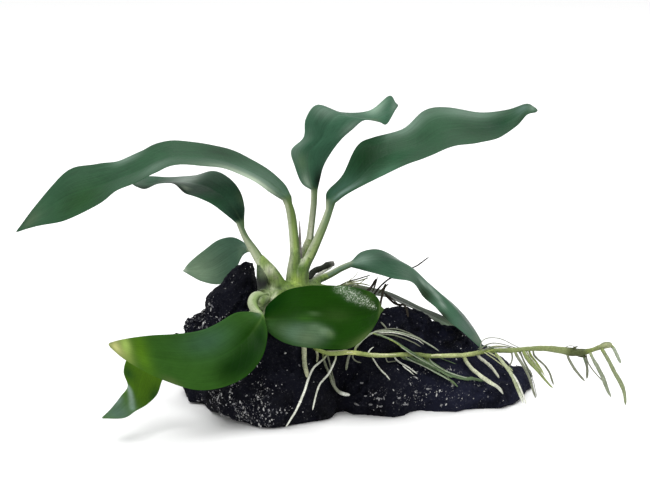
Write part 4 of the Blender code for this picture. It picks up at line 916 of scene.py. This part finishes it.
def grain_tree():
    """Scatters faceted grains over the stone, thick where its "ore" is high and thin elsewhere."""
    tree, given = tree_with("mineral_grains", MINERAL_GRAINS)
    place = node(tree, "GeometryNodeInputPosition").outputs[0]
    spread = node(tree, "GeometryNodeDistributePointsOnFaces", {
        "Mesh": given["Geometry"], "Density": times(stored(tree, "ore"), given["Density"]),
        "Seed": given["Seed"]}).outputs["Points"]
    turn = node(tree, "FunctionNodeRandomValue", {0: (0, 0, 0), 1: (6.28, 6.28, 6.28), "Seed": given["Seed"]},
        data_type="FLOAT_VECTOR").outputs["Value"]
    range_of_sizes = minus(given["Largest"], given["Smallest"])
    size = times_plus(power(chance(tree, 0.0, 1.0, SIZE_SEED), 2.5), range_of_sizes, given["Smallest"])
    sizes = vector_of(tree, times(size, chance(tree, 1.0, 2.6, STRETCH_SEED)), size, times(size, 0.6))
    crystal = node(tree, "GeometryNodeMeshIcoSphere", {"Radius": 1.0, "Subdivisions": 1}).outputs["Mesh"]
    toned = storing(spread, "shade", chance(tree, 0.0, 1.0, SHADE_SEED))
    placed = node(tree, "GeometryNodeInstanceOnPoints", {
        "Points": toned, "Instance": crystal, "Rotation": turn, "Scale": sizes}).outputs[0]
    solid = node(tree, "GeometryNodeRealizeInstances", {"Geometry": placed}).outputs[0]
    nicks = scaled(any_way(place, 3500, 1), times(given["Largest"], 0.8))
    return ended(tree, shifted(solid, nicks), given["Material"])


def root_tree():
    """Makes a round root along a line: it wanders a little, swells and thins, and ends closed."""
    tree, given = tree_with("root", ROOT_SHAPE)
    place = node(tree, "GeometryNodeInputPosition").outputs[0]
    line = node(tree, "GeometryNodeMeshToCurve", {"Mesh": given["Geometry"]}).outputs[0]
    line = node(tree, "GeometryNodeResampleCurve", {"Curve": line, "Length": given["Spacing"]},
        mode="LENGTH").outputs[0]
    drift = any_way(place, over(1.0, given["Wander size"]), 2)
    line = shifted(line, scaled(drift, given["Wander"]))
    bulge = minus(noise_at(place, over(1.0, given["Swelling size"]), 3), 0.5)
    radius = times(stored(tree, "thickness"), times_plus(bulge, given["Swelling"], 1.0))
    ring = node(tree, "GeometryNodeCurvePrimitiveCircle", {"Resolution": given["Sides"], "Radius": 1.0})
    skin = node(tree, "GeometryNodeCurveToMesh", {
        "Curve": line, "Profile Curve": ring.outputs[0], "Scale": radius, "Fill Caps": True})
    return ended(tree, skin.outputs[0], given["Material"])


def new_object(name, mesh, look=None):
    made = bpy.data.objects.new(name, mesh)
    bpy.context.scene.collection.objects.link(made)
    if look:
        mesh.materials.clear()
        mesh.materials.append(look)
    return made


def settled(item):
    """The object with its modifiers worked into its mesh."""
    bpy.context.view_layer.update()
    graph = bpy.context.evaluated_depsgraph_get()
    mesh = bpy.data.meshes.new_from_object(item.evaluated_get(graph))
    item.modifiers.clear()
    item.data = mesh
    return item


def grown(item, tree, values, look):
    """Turns the object into the plain mesh that the tree makes of it with those values and that material."""
    modifier = item.modifiers.new(tree.name, "NODES")
    modifier.node_group = tree
    named = {**values, "Material": look}
    for socket in tree.interface.items_tree:
        if socket.name in named:
            modifier[socket.identifier] = named[socket.name]
    return settled(item)


def remesh(item, voxel):
    """Lets the object be made anew as one skin, to the voxel's size."""
    modifier = item.modifiers.new("fine", "REMESH")
    modifier.mode = "VOXEL"
    modifier.voxel_size = voxel


def stand_for(item, slot, *nodes):
    """Makes the piece part of the object, in place of those solids."""
    item.data.shade_smooth()
    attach(item, "root")
    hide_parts(*nodes)


def set_floats(mesh, name, values):
    mesh.attributes.new(name, "FLOAT", "POINT").data.foreach_set("value", np.asarray(values, np.float32))


def set_tint(mesh, colours):
    """Gives each point of the mesh its linear colour."""
    full = np.ones((len(mesh.vertices), 4), np.float32)
    full[:, :3] = colours
    mesh.attributes.new("tint", "FLOAT_COLOR", "POINT").data.foreach_set("color", full.ravel())


def points_of(mesh):
    flat = np.zeros(len(mesh.vertices) * 3, np.float32)
    mesh.vertices.foreach_get("co", flat)
    return flat.reshape(-1, 3).astype(float)


def mesh_of(shape, name):
    """A mesh made of the shape, which is done with."""
    mesh = bpy.data.meshes.new(name)
    shape.to_mesh(mesh)
    shape.free()
    return mesh


def merged_copy(cad_node):
    """A copy of a CAD solid's mesh with its loose triangles joined up."""
    shape = bmesh.new()
    shape.from_mesh(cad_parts[cad_node].data)
    bmesh.ops.remove_doubles(shape, verts=shape.verts, dist=MERGE_REACH)
    return mesh_of(shape, cad_node + "_copy")


def surface_of(item):
    return BVHTree.FromObject(item, bpy.context.evaluated_depsgraph_get())


def skin_over(name, rings):
    """One closed skin over rings of as many points each."""
    sides = len(rings[0])
    last = (len(rings) - 1) * sides
    faces = [tuple(range(sides)), tuple(range(last, last + sides))]
    for row in range(len(rings) - 1):
        for k in range(sides):
            a, b = row * sides + k, row * sides + (k + 1) % sides
            faces.append((a, b, b + sides, a + sides))
    mesh = bpy.data.meshes.new(name)
    mesh.from_pydata([tuple(point) for ring in rings for point in ring], [], faces)
    skin = bmesh.new()
    skin.from_mesh(mesh)
    bmesh.ops.recalc_face_normals(skin, faces=skin.faces)
    skin.to_mesh(mesh)
    skin.free()
    return mesh


def tube_into(shape, path):
    """Adds a closed tube along (x, y, z, radius) points to the shape."""
    first = (0.0, 0.0, 1.0) if abs(unit(path[1, :3] - path[0, :3])[2]) < 0.9 else (1.0, 0.0, 0.0)
    frames = carried_frames(path, np.array(first))
    angles = np.arange(TUBE_SIDES) * math.tau / TUBE_SIDES
    rings = [point[:3] + point[3] * (np.outer(np.cos(angles), side) + np.outer(np.sin(angles), up))
        for point, (side, up) in zip(path, frames)]
    shape.from_mesh(skin_over("tube", rings))


def wear_down(mesh):
    """Lowers the stone's ridge and undercuts its front foot, and keeps its underside level."""
    start, stop, depth = RIDGE_WEAR
    middle, half_width, rise = FOOT_WEAR
    for point in mesh.vertices:
        x, y, z = point.co / MM
        share = min(max((x - start) / (stop - start), 0), 1)
        z -= depth * math.sin(math.pi * share) * smooth_share(*RIDGE_HEIGHTS, z)
        near = bell((x - middle) / half_width) * smooth_share(*FOOT_DEPTHS, -y)
        z += rise * near * (1 - smooth_share(*FOOT_HEIGHTS, z))
        point.co.z = max(z, 0) * MM


def ore_at(places):
    """How rich the stone is in mineral at places in mm."""
    x, _, z = places.T
    ore = sum(rich * bell((x - middle) / reach, (z - height) / rise)
        for middle, height, reach, rise, rich in ORE_FIELDS) + ORE_EVERYWHERE
    for often, centre, swing in ORE_VARIATION:
        ore *= centre + swing * np.array([noise.noise(Vector(place) * often) for place in places])
    return np.clip(ore, ORE_LEAST, 1) * smooth_share(*ORE_HEIGHTS, z)


def build_stone(look, grain_look):
    """The stone's rough skin, and the mineral grains that sit in it."""
    shape = bmesh.new()
    shape.from_mesh(merged_copy("stone"))
    for lump in STONE_LUMPS:
        tube_into(shape, seen_path(lump))
    stone = new_object("lava_stone", mesh_of(shape, "stone_with_lumps"), look)
    wear_down(stone.data)
    remesh(stone, STONE_VOXEL)
    grown(settled(stone), stone_relief_tree(), STONE_RELIEF, look)
    set_floats(stone.data, "ore", ore_at(points_of(stone.data) / MM))
    stand_for(stone, "black_lava", "stone")

    grains = new_object("mineral_grains", stone.data.copy())
    grown(grains, grain_tree(), MINERAL_GRAINS, grain_look)
    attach(grains, "root")
    build_flakes(surface_of(stone), grain_look)


def build_flakes(surface, look):
    """Long pale mineral flakes that lie level in the stone's front face."""
    shape = bmesh.new()
    for column, row, length in FLAKES:
        eye, way = sight_line(column, row)
        hit, normal, _, _ = surface.ray_cast(eye, way.normalized())
        level = Vector((0, 0, 1)).cross(normal).normalized()
        sizes = (length * MM / 2, FLAKE_BREADTH, FLAKE_THICKNESS)
        axes = [axis * size for axis, size in zip((level, normal.cross(level), normal), sizes)]
        for point in bmesh.ops.create_icosphere(shape, subdivisions=2, radius=1)["verts"]:
            rough = 1 + FLAKE_ROUGHNESS * noise.noise(point.co * 2 + Vector((column, row, 0)))
            point.co = hit + sum((axis * share for axis, share in zip(axes, point.co * rough)), Vector())
    flakes = new_object("mineral_flakes", mesh_of(shape, "mineral_flakes"), look)
    set_floats(flakes.data, "shade", np.full(len(flakes.data.vertices), FLAKE_SHADE))
    flakes.data.shade_smooth()
    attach(flakes, "root")


def ring_places():
    """Round a leaf's section, from its far edge over the upper face: the share across, and which face."""
    half = np.array(ACROSS_STEPS)
    over_top = np.concatenate([half, [0], -half[::-1]])
    inner = len(over_top) - 2
    across = np.concatenate([over_top, over_top[-2:0:-1]])
    face = np.concatenate([[0], np.ones(inner), [0], -np.ones(inner)])
    return across, face


def blade_edges(leaf, rows):
    return [smooth_curve([seen(*pair[side]) for pair in leaf["stations"]], rows) for side in (0, 1)]


def blade_lines(leaf):
    """The far edge, the near edge and the upward direction along a blade."""
    few = round(BLADE_ROWS_PER_STATION * len(leaf["stations"]))
    far, near = blade_edges(leaf, few)
    up = np.cross(np.gradient((far + near) / 2, axis=0), far - near)
    up /= np.linalg.norm(up, axis=1)[:, None] * math.copysign(1, up[few // 2] @ UPPER_FACE)
    for _ in range(UP_SMOOTHING):
        up[1:-1] = (up[:-2] + 2 * up[1:-1] + up[2:]) / 4
    up = smooth_curve(up, BLADE_ROWS)
    up /= np.linalg.norm(up, axis=1)[:, None]
    return (*blade_edges(leaf, BLADE_ROWS), up)


def blade_section(leaf, share, half_width, stalk_radius, across, face, ripple):
    """Heights round one section of a blade above the line between its edges."""
    fullness = min(1, half_width / FULL_TROUGH_HALF_WIDTH)
    soft = np.sqrt(across ** 2 + FOLD_ROUNDING) - FOLD_DROP * (1 - across ** 2)
    trough = leaf["trough"] * MM * fullness
    trough *= math.sin(math.pi * min(max(share, TROUGH_ENDS), 1 - TROUGH_ENDS)) ** TROUGH_FULLNESS
    dish = -trough * np.clip(1 - soft, 0, 1) ** TROUGH_SHARPNESS
    thick = min(BLADE_HALF_THICKNESS, half_width * THICKEST_SHARE) * (1 - across ** 2) ** RIM_ROUNDING
    aside = np.abs(across) * half_width
    groove = GROOVE_DEPTH * (1 - share) * bell(aside / GROOVE_HALF_WIDTH)
    rib = stalk_radius * max(0, 1 - RIB_TAPER * share) * bell(aside / (RIB_BREADTH * stalk_radius))
    rib += MIDRIB_DEPTH * min(1 - share, RIB_TAPER * share) * bell(aside / MIDRIB_HALF_WIDTH)
    height = dish + face * thick - np.where(face > 0, groove, 0) - np.where(face < 0, rib, 0)
    height = height + ripple * across ** 2 * fullness
    foot = 1 - smooth_share(0, FOOT_SHARE, share)
    return height * (1 - foot) + foot * face * stalk_radius * np.sqrt(1 - across ** 2)


def leaf_rings(name, leaf, across, face):
    """Rings of points from the stalk's foot to the blade's tip, and for each whether it is in the blade, its
    share along (-1 to 0 in the stalk, 0 to 1 in the blade) and its place along the blade in mm."""
    far, near, up = blade_lines(leaf)
    middle = (far + near) / 2
    start = (leaf["sheath"][-2][:3] + (leaf["sheath"][-1][3] * STALK_START,),)
    stalk = evenly(seen_path(start + leaf["stalk"], STALK_SAMPLES), STALK_SPACING)
    stalk = smooth_curve(stalk, STALK_ROWS)
    stalk_radius = stalk[-1, 3]
    frames = carried_frames(stalk[::-1], far[0] - near[0])[::-1]
    turn = math.copysign(1, frames[-1][1] @ up[0])
    level = turn * face * np.sqrt(1 - across ** 2)
    rings, facts = [], []
    for k, (point, (side, rise)) in enumerate(zip(stalk[:-1], frames)):
        rings.append(point[:3] + point[3] * (np.outer(across, side) + np.outer(level, rise)))
        facts.append((0.0, k / STALK_ROWS - 1, 0.0))
    run = distances(middle)
    seed = RIPPLE_SEED * len(name) + leaf["stations"][0][0][0]
    for k, share in enumerate(np.linspace(0, 1, BLADE_ROWS)):
        half_width = np.linalg.norm(far[k] - near[k]) / 2
        along = run[k] / RIPPLE_LENGTH
        far_wave, near_wave = (noise.noise(Vector((along, seed, edge))) * RIPPLE for edge in RIPPLE_EDGES)
        ripple = np.where(across > 0, far_wave, near_wave)
        height = blade_section(leaf, share, half_width, stalk_radius, across, face, ripple)
        rings.append(middle[k] + np.outer(across, far[k] - near[k]) / 2 + np.outer(height, up[k]))
        facts.append((1.0, share, run[k] / MM))
    tip = middle[-1] + unit(middle[-1] - middle[-3]) * np.linalg.norm(far[-1] - near[-1]) * TIP_LENGTH
    rings.append(tip + (rings[-1] - middle[-1]) * TIP_SHARE)
    facts.append((1.0, 1.0, run[-1] / MM + TIP_LENGTH))
    return np.array(rings), np.array(facts)


def painted_side_light(colour, light_facing, strength):
    """The colours with a painted highlight, a pale margin, on the side that faces the light, and painted
    shade on the side away from it, each by how far a point faces that way.
    """
    pale = (smooth_share(*LIT_RANGE, light_facing) * strength)[..., None]
    dark = (smooth_share(*SHADED_RANGE, -light_facing) * strength)[..., None]
    colour = colour * (1 - pale) + linear(STALK_LIT_MARGIN) * pale
    return colour * (1 - dark) + linear(STALK_SHADE) * dark


def leaf_tints(leaf, rings, share, across, face):
    """Linear colour of each point: the leaf's own, its soft patches, many of them painted sheen and shade,
    and the stalk's with a painted highlight and painted shade on its sides.
    """
    colour = np.broadcast_to(linear(leaf["colour"]), rings.shape).copy()
    shown = np.where(face < 0, leaf.get("underside", 1), 1)
    # The patches, many of them painted sheen, glints and shade
    for along, aside, reach, breadth, patch in leaf["patches"]:
        weight = shown * bell((share - along) / reach, (across - aside) / breadth)
        colour += (linear(patch) - colour) * weight[..., None]
    foot, top = leaf.get("stalk_colours", (STALK_FOOT, STALK_TOP))
    up_stalk = smooth_share(-1, 0, share)[..., None]
    stalk = linear(foot) * (1 - up_stalk) + linear(top) * up_stalk
    # Painted highlight and painted shade on the stalk's sides, by how far each point faces the light
    light_facing = (rings - rings.mean(axis=1, keepdims=True)) @ LIT_SIDE
    light_facing /= np.abs(light_facing).max(axis=1, keepdims=True)
    stalk = painted_side_light(stalk + np.zeros_like(colour), light_facing, 1 - STALK_SIDE_LIGHT_FADE * up_stalk[..., 0])
    in_blade = smooth_share(*TINT_CHANGE, share) * np.ones_like(across)
    midrib = bell(across / MIDRIB_REACH) * (1 - smooth_share(0, MIDRIB_RUN, share))
    in_blade = (in_blade * (1 - MIDRIB_SHADE * midrib))[..., None]
    return stalk * STALK_ALBEDO * (1 - in_blade) + colour * LEAF_ALBEDO * in_blade


def build_leaf(name, leaf, look):
    """One leaf: its stalk and its blade as one skin."""
    across, face = ring_places()
    rings, facts = leaf_rings(name, leaf, across, face)
    blade, share, run = facts.T
    share = share[:, None]
    mesh = skin_over("leaf_" + name, rings)
    set_tint(mesh, leaf_tints(leaf, rings, share, across, face).reshape(-1, 3))
    # Where the upper face gets its painted wet glints
    fleck = np.zeros((len(facts), len(across)))
    for along, aside, reach, breadth in leaf.get("flecks", ()):
        spot = np.exp(-((share - along) / reach) ** 4 - ((across - aside) / breadth) ** 4)
        fleck = np.maximum(fleck, spot)
    set_floats(mesh, "across", np.tile(across, len(facts)))
    set_floats(mesh, "run", np.repeat(run, len(across)))
    set_floats(mesh, "blade", np.repeat(blade, len(across)))
    set_floats(mesh, "fleck", (fleck * (face >= 0)).ravel())
    slot = "leaf_bright_green" if name in WET_LEAVES else "leaf_green"
    stand_for(new_object("dressed_leaf_" + name, mesh, look), slot, "leaf_" + name)


def sheath_path(leaf):
    """The (x, y, z, radius) points of a sheath, drawn out over the foot of its stalk to a thin free edge."""
    first, second = np.array(leaf["stalk"][0]), np.array(leaf["stalk"][1])
    lip = first + (second - first) * SHEATH_REACH
    lip[3] += SHEATH_WRAP
    return seen_path(leaf["sheath"] + (tuple(lip),), SHEATH_SAMPLES)


def crown_tints(points, stem, sheaths):
    """Linear colour of each point: the stem's, the sheaths' with a painted highlight and painted shade on
    their sides, the old sheath's dark green, partly painted shade, which is the last one, and the patches'
    over them, some of them painted shadow and highlight."""
    cores = np.vstack([stem] + sheaths)
    rises = [np.linspace(SHEATH_FOOT_SHARE, 1, len(path)) for path in sheaths]
    rise = np.concatenate([np.zeros(len(stem))] + rises)
    gap = np.linalg.norm(points[:, None] - cores[None, :, :3], axis=2) - cores[None, :, 3]
    nearest = gap.argmin(axis=1)
    height = rise[nearest][:, None]
    light_facing = (points - cores[nearest, :3]) @ LIT_SIDE / cores[nearest, 3]
    colour = linear(STEM_GREEN) * (1 - height) + linear(SHEATH_GREEN) * height
    # Painted highlight and painted shade on the sheaths' sides
    colour = painted_side_light(colour, light_facing, smooth_share(*SHEATH_SIDE_LIGHT_RANGE, rise[nearest]))
    # The old sheath's dark green, partly painted shade
    colour[nearest >= len(cores) - len(sheaths[-1])] = linear(OLD_SHEATH_SHADED_GREEN)
    for column, row, reach, patch in CROWN_PATCHES:
        x, _, z = (points - np.array(seen(column, row, CROWN_PATCH_DEPTH))).T / (reach * MM)
        colour += (linear(patch) - colour) * bell(x, z)[:, None]
    return colour * STALK_ALBEDO


def build_crown(look):
    """The rhizome and the sheaths that wrap the feet of the leaf stalks, grown together."""
    shape = bmesh.new()
    stem, sheaths = seen_path(RHIZOME), [sheath_path(leaf) for leaf in LEAVES.values()]
    sheaths += [seen_path(points, SMALL_SHEATH_SAMPLES) for points in (KNOB_HEART, OLD_SHEATH)]
    for path in [stem] + sheaths:
        tube_into(shape, path)
    crown = new_object("dressed_rhizome", mesh_of(shape, "crown"))
    remesh(crown, CROWN_VOXEL)
    soften = crown.modifiers.new("soften", "SMOOTH")
    soften.factor = 0.5
    soften.iterations = CROWN_SOFTENING
    settled(crown)
    crown.data.materials.clear()
    crown.data.materials.append(look)
    set_tint(crown.data, crown_tints(points_of(crown.data), stem, sheaths))
    stand_for(crown, "rhizome_green", "rhizome")


def line_object(name, paths):
    """Bare lines through (x, y, z, radius) points, which a root is grown along."""
    mesh = bpy.data.meshes.new(name)
    points = np.vstack(paths)
    edges, start = [], 0
    for path in paths:
        edges += [(start + k, start + k + 1) for k in range(len(path) - 1)]
        start += len(path)
    mesh.from_pydata([tuple(point[:3]) for point in points], edges, [])
    set_floats(mesh, "thickness", points[:, 3])
    set_floats(mesh, "along", np.concatenate([np.linspace(0, 1, len(path)) for path in paths]))
    return new_object(name, mesh)


def root_along(name, paths, tree, look, tints, **changes):
    """A root piece along each path. tints: (place along it, colour), from 0 at its start to 1 at its tip."""
    made = grown(line_object(name, paths), tree, {**ROOT_SHAPE, **changes}, look)
    along = np.zeros(len(made.data.vertices), np.float32)
    made.data.attributes["along"].data.foreach_get("value", along)
    steps, colours = zip(*tints)
    shades = np.array([linear(colour) for colour in colours])
    set_tint(made.data, np.stack([np.interp(along, steps, shade) for shade in shades.T], axis=1))
    return made


def on_stone(column, row, stand_off, surface):
    """The point in front of the stone's surface that the view shows at that pixel."""
    eye, way = sight_line(column, row)
    hit, _, _, _ = surface.ray_cast(eye, way.normalized())
    return hit - way.normalized() * stand_off


def pushed_clear(path, surface):
    """The path moved out to where it stands clear of the stone and the floor, and evened out between."""
    moved = path.copy()
    for turn in range(CLEARING_ROUNDS):
        if turn:
            moved[1:-1, :3] = (moved[:-2, :3] + 2 * moved[1:-1, :3] + moved[2:, :3]) / 4
        for k, (x, y, z, radius) in enumerate(moved):
            point = Vector((x, y, z))
            near, normal, _, distance = surface.find_nearest(point)
            wanted = radius + ROOT_GAP
            if distance < wanted or (point - near).dot(normal) < 0:
                moved[k, :3] = near + normal * wanted
            moved[k, 2] = max(moved[k, 2], radius + FLOOR_CLEARANCE)
    return moved


def root_path(points, radius, lift, surface, slimness, mother=None):
    """(x, y, z, radius) points along a root, clear of the stone and rounded off at both ends.

    A root that starts close to the mother root's path starts in it.
    """
    radii = np.array(radius) * MM
    stand_off = radii.max() + (lift + ROOT_STAND_OFF) * MM
    placed = [tuple(on_stone(*point, stand_off, surface) if len(point) == 2 else seen(*point))
        for point in points]
    if mother is not None:
        gaps = np.linalg.norm(mother[:, :3] - np.array(placed[0]), axis=1)
        if gaps.min() < ROOT_JOIN_REACH:
            placed.insert(0, tuple(mother[gaps.argmin(), :3]))
    path = evenly(smooth_curve(placed, ROOT_SAMPLES), ROOT_STEP)
    along = np.linspace(0, len(radii) - 1, len(path))
    path = np.hstack([path, np.interp(along, range(len(radii)), radii * slimness)[:, None]])
    path = evenly(pushed_clear(path, surface), ROOT_FINE_STEP)
    path[-len(ROOT_ROUNDING):, 3] *= ROOT_ROUNDING
    path[:len(ROOT_ROUNDING), 3] *= ROOT_ROUNDING[::-1]
    return path


def build_roots(live, dry):
    """The long root, its side roots, the fine roots and the pale strands laid on as painted highlights, and
    the tree that they are grown with.
    """
    ground = new_object("ground", merged_copy("stone"))
    surface = surface_of(ground)
    bpy.data.objects.remove(ground, do_unlink=True)
    tree = root_tree()
    mother = root_path(*RUNNER, surface, RUNNER_SLIMNESS)
    runner = root_along("dressed_root_runner", [mother], tree, live, RUNNER_TINTS)
    stand_for(runner, "root_cream", "root_runner")
    for name, (points, radius, lift, colour, *tip) in ROOTS.items():
        dried = name in DRY_ROOTS
        shades = (colour if dried else LIME, colour, colour, *(tip or (colour,)))
        tints = tuple(zip(ROOT_TINT_PLACES, shades))
        path = root_path(points, radius, lift, surface, ROOT_SLIMNESS, mother)
        made = root_along("dressed_root_" + name, [path], tree, dry if dried else live, tints)
        stand_for(made, "dry_brown" if dried else "root_cream", "root_" + name)
    for name, (colour, fine_roots) in FINE_ROOTS_AND_HIGHLIGHTS.items():
        paths = [root_path(points, (radius, radius * FINE_ROOT_TIP), lift, surface, 1, mother)
            for points, radius, lift in fine_roots]
        made = root_along(name, paths, tree, live, ((0, colour), (1, colour)), **FINE_ROOT_SHAPE)
        made.data.shade_smooth()
        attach(made, "root")
    return tree


def build_bract_and_stub(tree, papery, dry):
    """The papery bract and the dead end of an old stalk, both in the crown."""
    bract = root_along("dressed_bract", [seen_path(BRACT)], tree, papery, BRACT_TINTS, Wander=0.2 * MM)
    stand_for(bract, "bract_brown", "bract")
    stub = root_along("dressed_dry_stub", [seen_path(DRY_STUB)], tree, dry, DRY_STUB_TINTS,
        Wander=0.4 * MM, Swelling=0.6)
    stand_for(stub, "dry_brown", "dry_stub")


def area_light(name, place, aim, size, watts):
    data = bpy.data.lights.new(name, "AREA")
    data.shape = "RECTANGLE"
    data.size, data.size_y = size
    data.energy = watts
    light = bpy.data.objects.new(name, data)
    light.location = place
    light.rotation_euler = (Vector(aim) - Vector(place)).to_track_quat("-Z", "Y").to_euler()
    bpy.context.scene.collection.objects.link(light)


def build_studio():
    """Pale floor, soft light from above and the front, and the camera of the front view."""
    bpy.ops.mesh.primitive_plane_add(size=FLOOR_SIZE)
    floor = bpy.context.object
    floor.name = "floor"
    floor.data.materials.append(pale_floor())

    room = bpy.data.worlds.new("white_room")
    bpy.context.scene.world = room
    room.use_nodes = True
    background = room.node_tree.nodes["Background"].inputs
    background["Color"].default_value = (1, 1, 1, 1)
    background["Strength"].default_value = ROOM_LIGHT
    for lamp in LAMPS:
        area_light(*lamp)

    view = bpy.data.cameras.new("front_view")
    view.sensor_width = SENSOR_WIDTH
    view.lens = SENSOR_WIDTH * VIEW_DISTANCE / (VIEW_COLUMNS * VIEW_PIXEL)
    view.clip_start = 10 * MM
    camera = bpy.data.objects.new("front_view", view)
    toward = Vector((0, -math.cos(VIEW_TILT), math.sin(VIEW_TILT)))
    camera.location = VIEW_CENTRE + toward * VIEW_DISTANCE
    camera.rotation_euler = (math.pi / 2 - VIEW_TILT, 0, 0)
    bpy.context.scene.collection.objects.link(camera)
    bpy.context.scene.camera = camera
    bpy.context.scene.view_settings.view_transform = "Standard"


def main():
    build_studio()
    build_stone(lava_stone(), mineral_grain())
    build_crown(crown_skin())
    waxy = leaf_skin("waxy_leaf", roughness=0.42, specular=0.1, streaks=0.15)
    wet = leaf_skin("wet_leaf", roughness=0.3, specular=0.03, streaks=0.1)
    for name, leaf in LEAVES.items():
        build_leaf(name, leaf, wet if name in WET_LEAVES else waxy)
    dry = root_skin("dry_root", roughness=0.75, wrinkle=0.3 * MM, ageing=0.0)
    live = root_skin("live_root", roughness=0.45, wrinkle=0.12 * MM, ageing=0.5)
    tree = build_roots(live, dry)
    build_bract_and_stub(tree, papery_bract(), dry)


main()
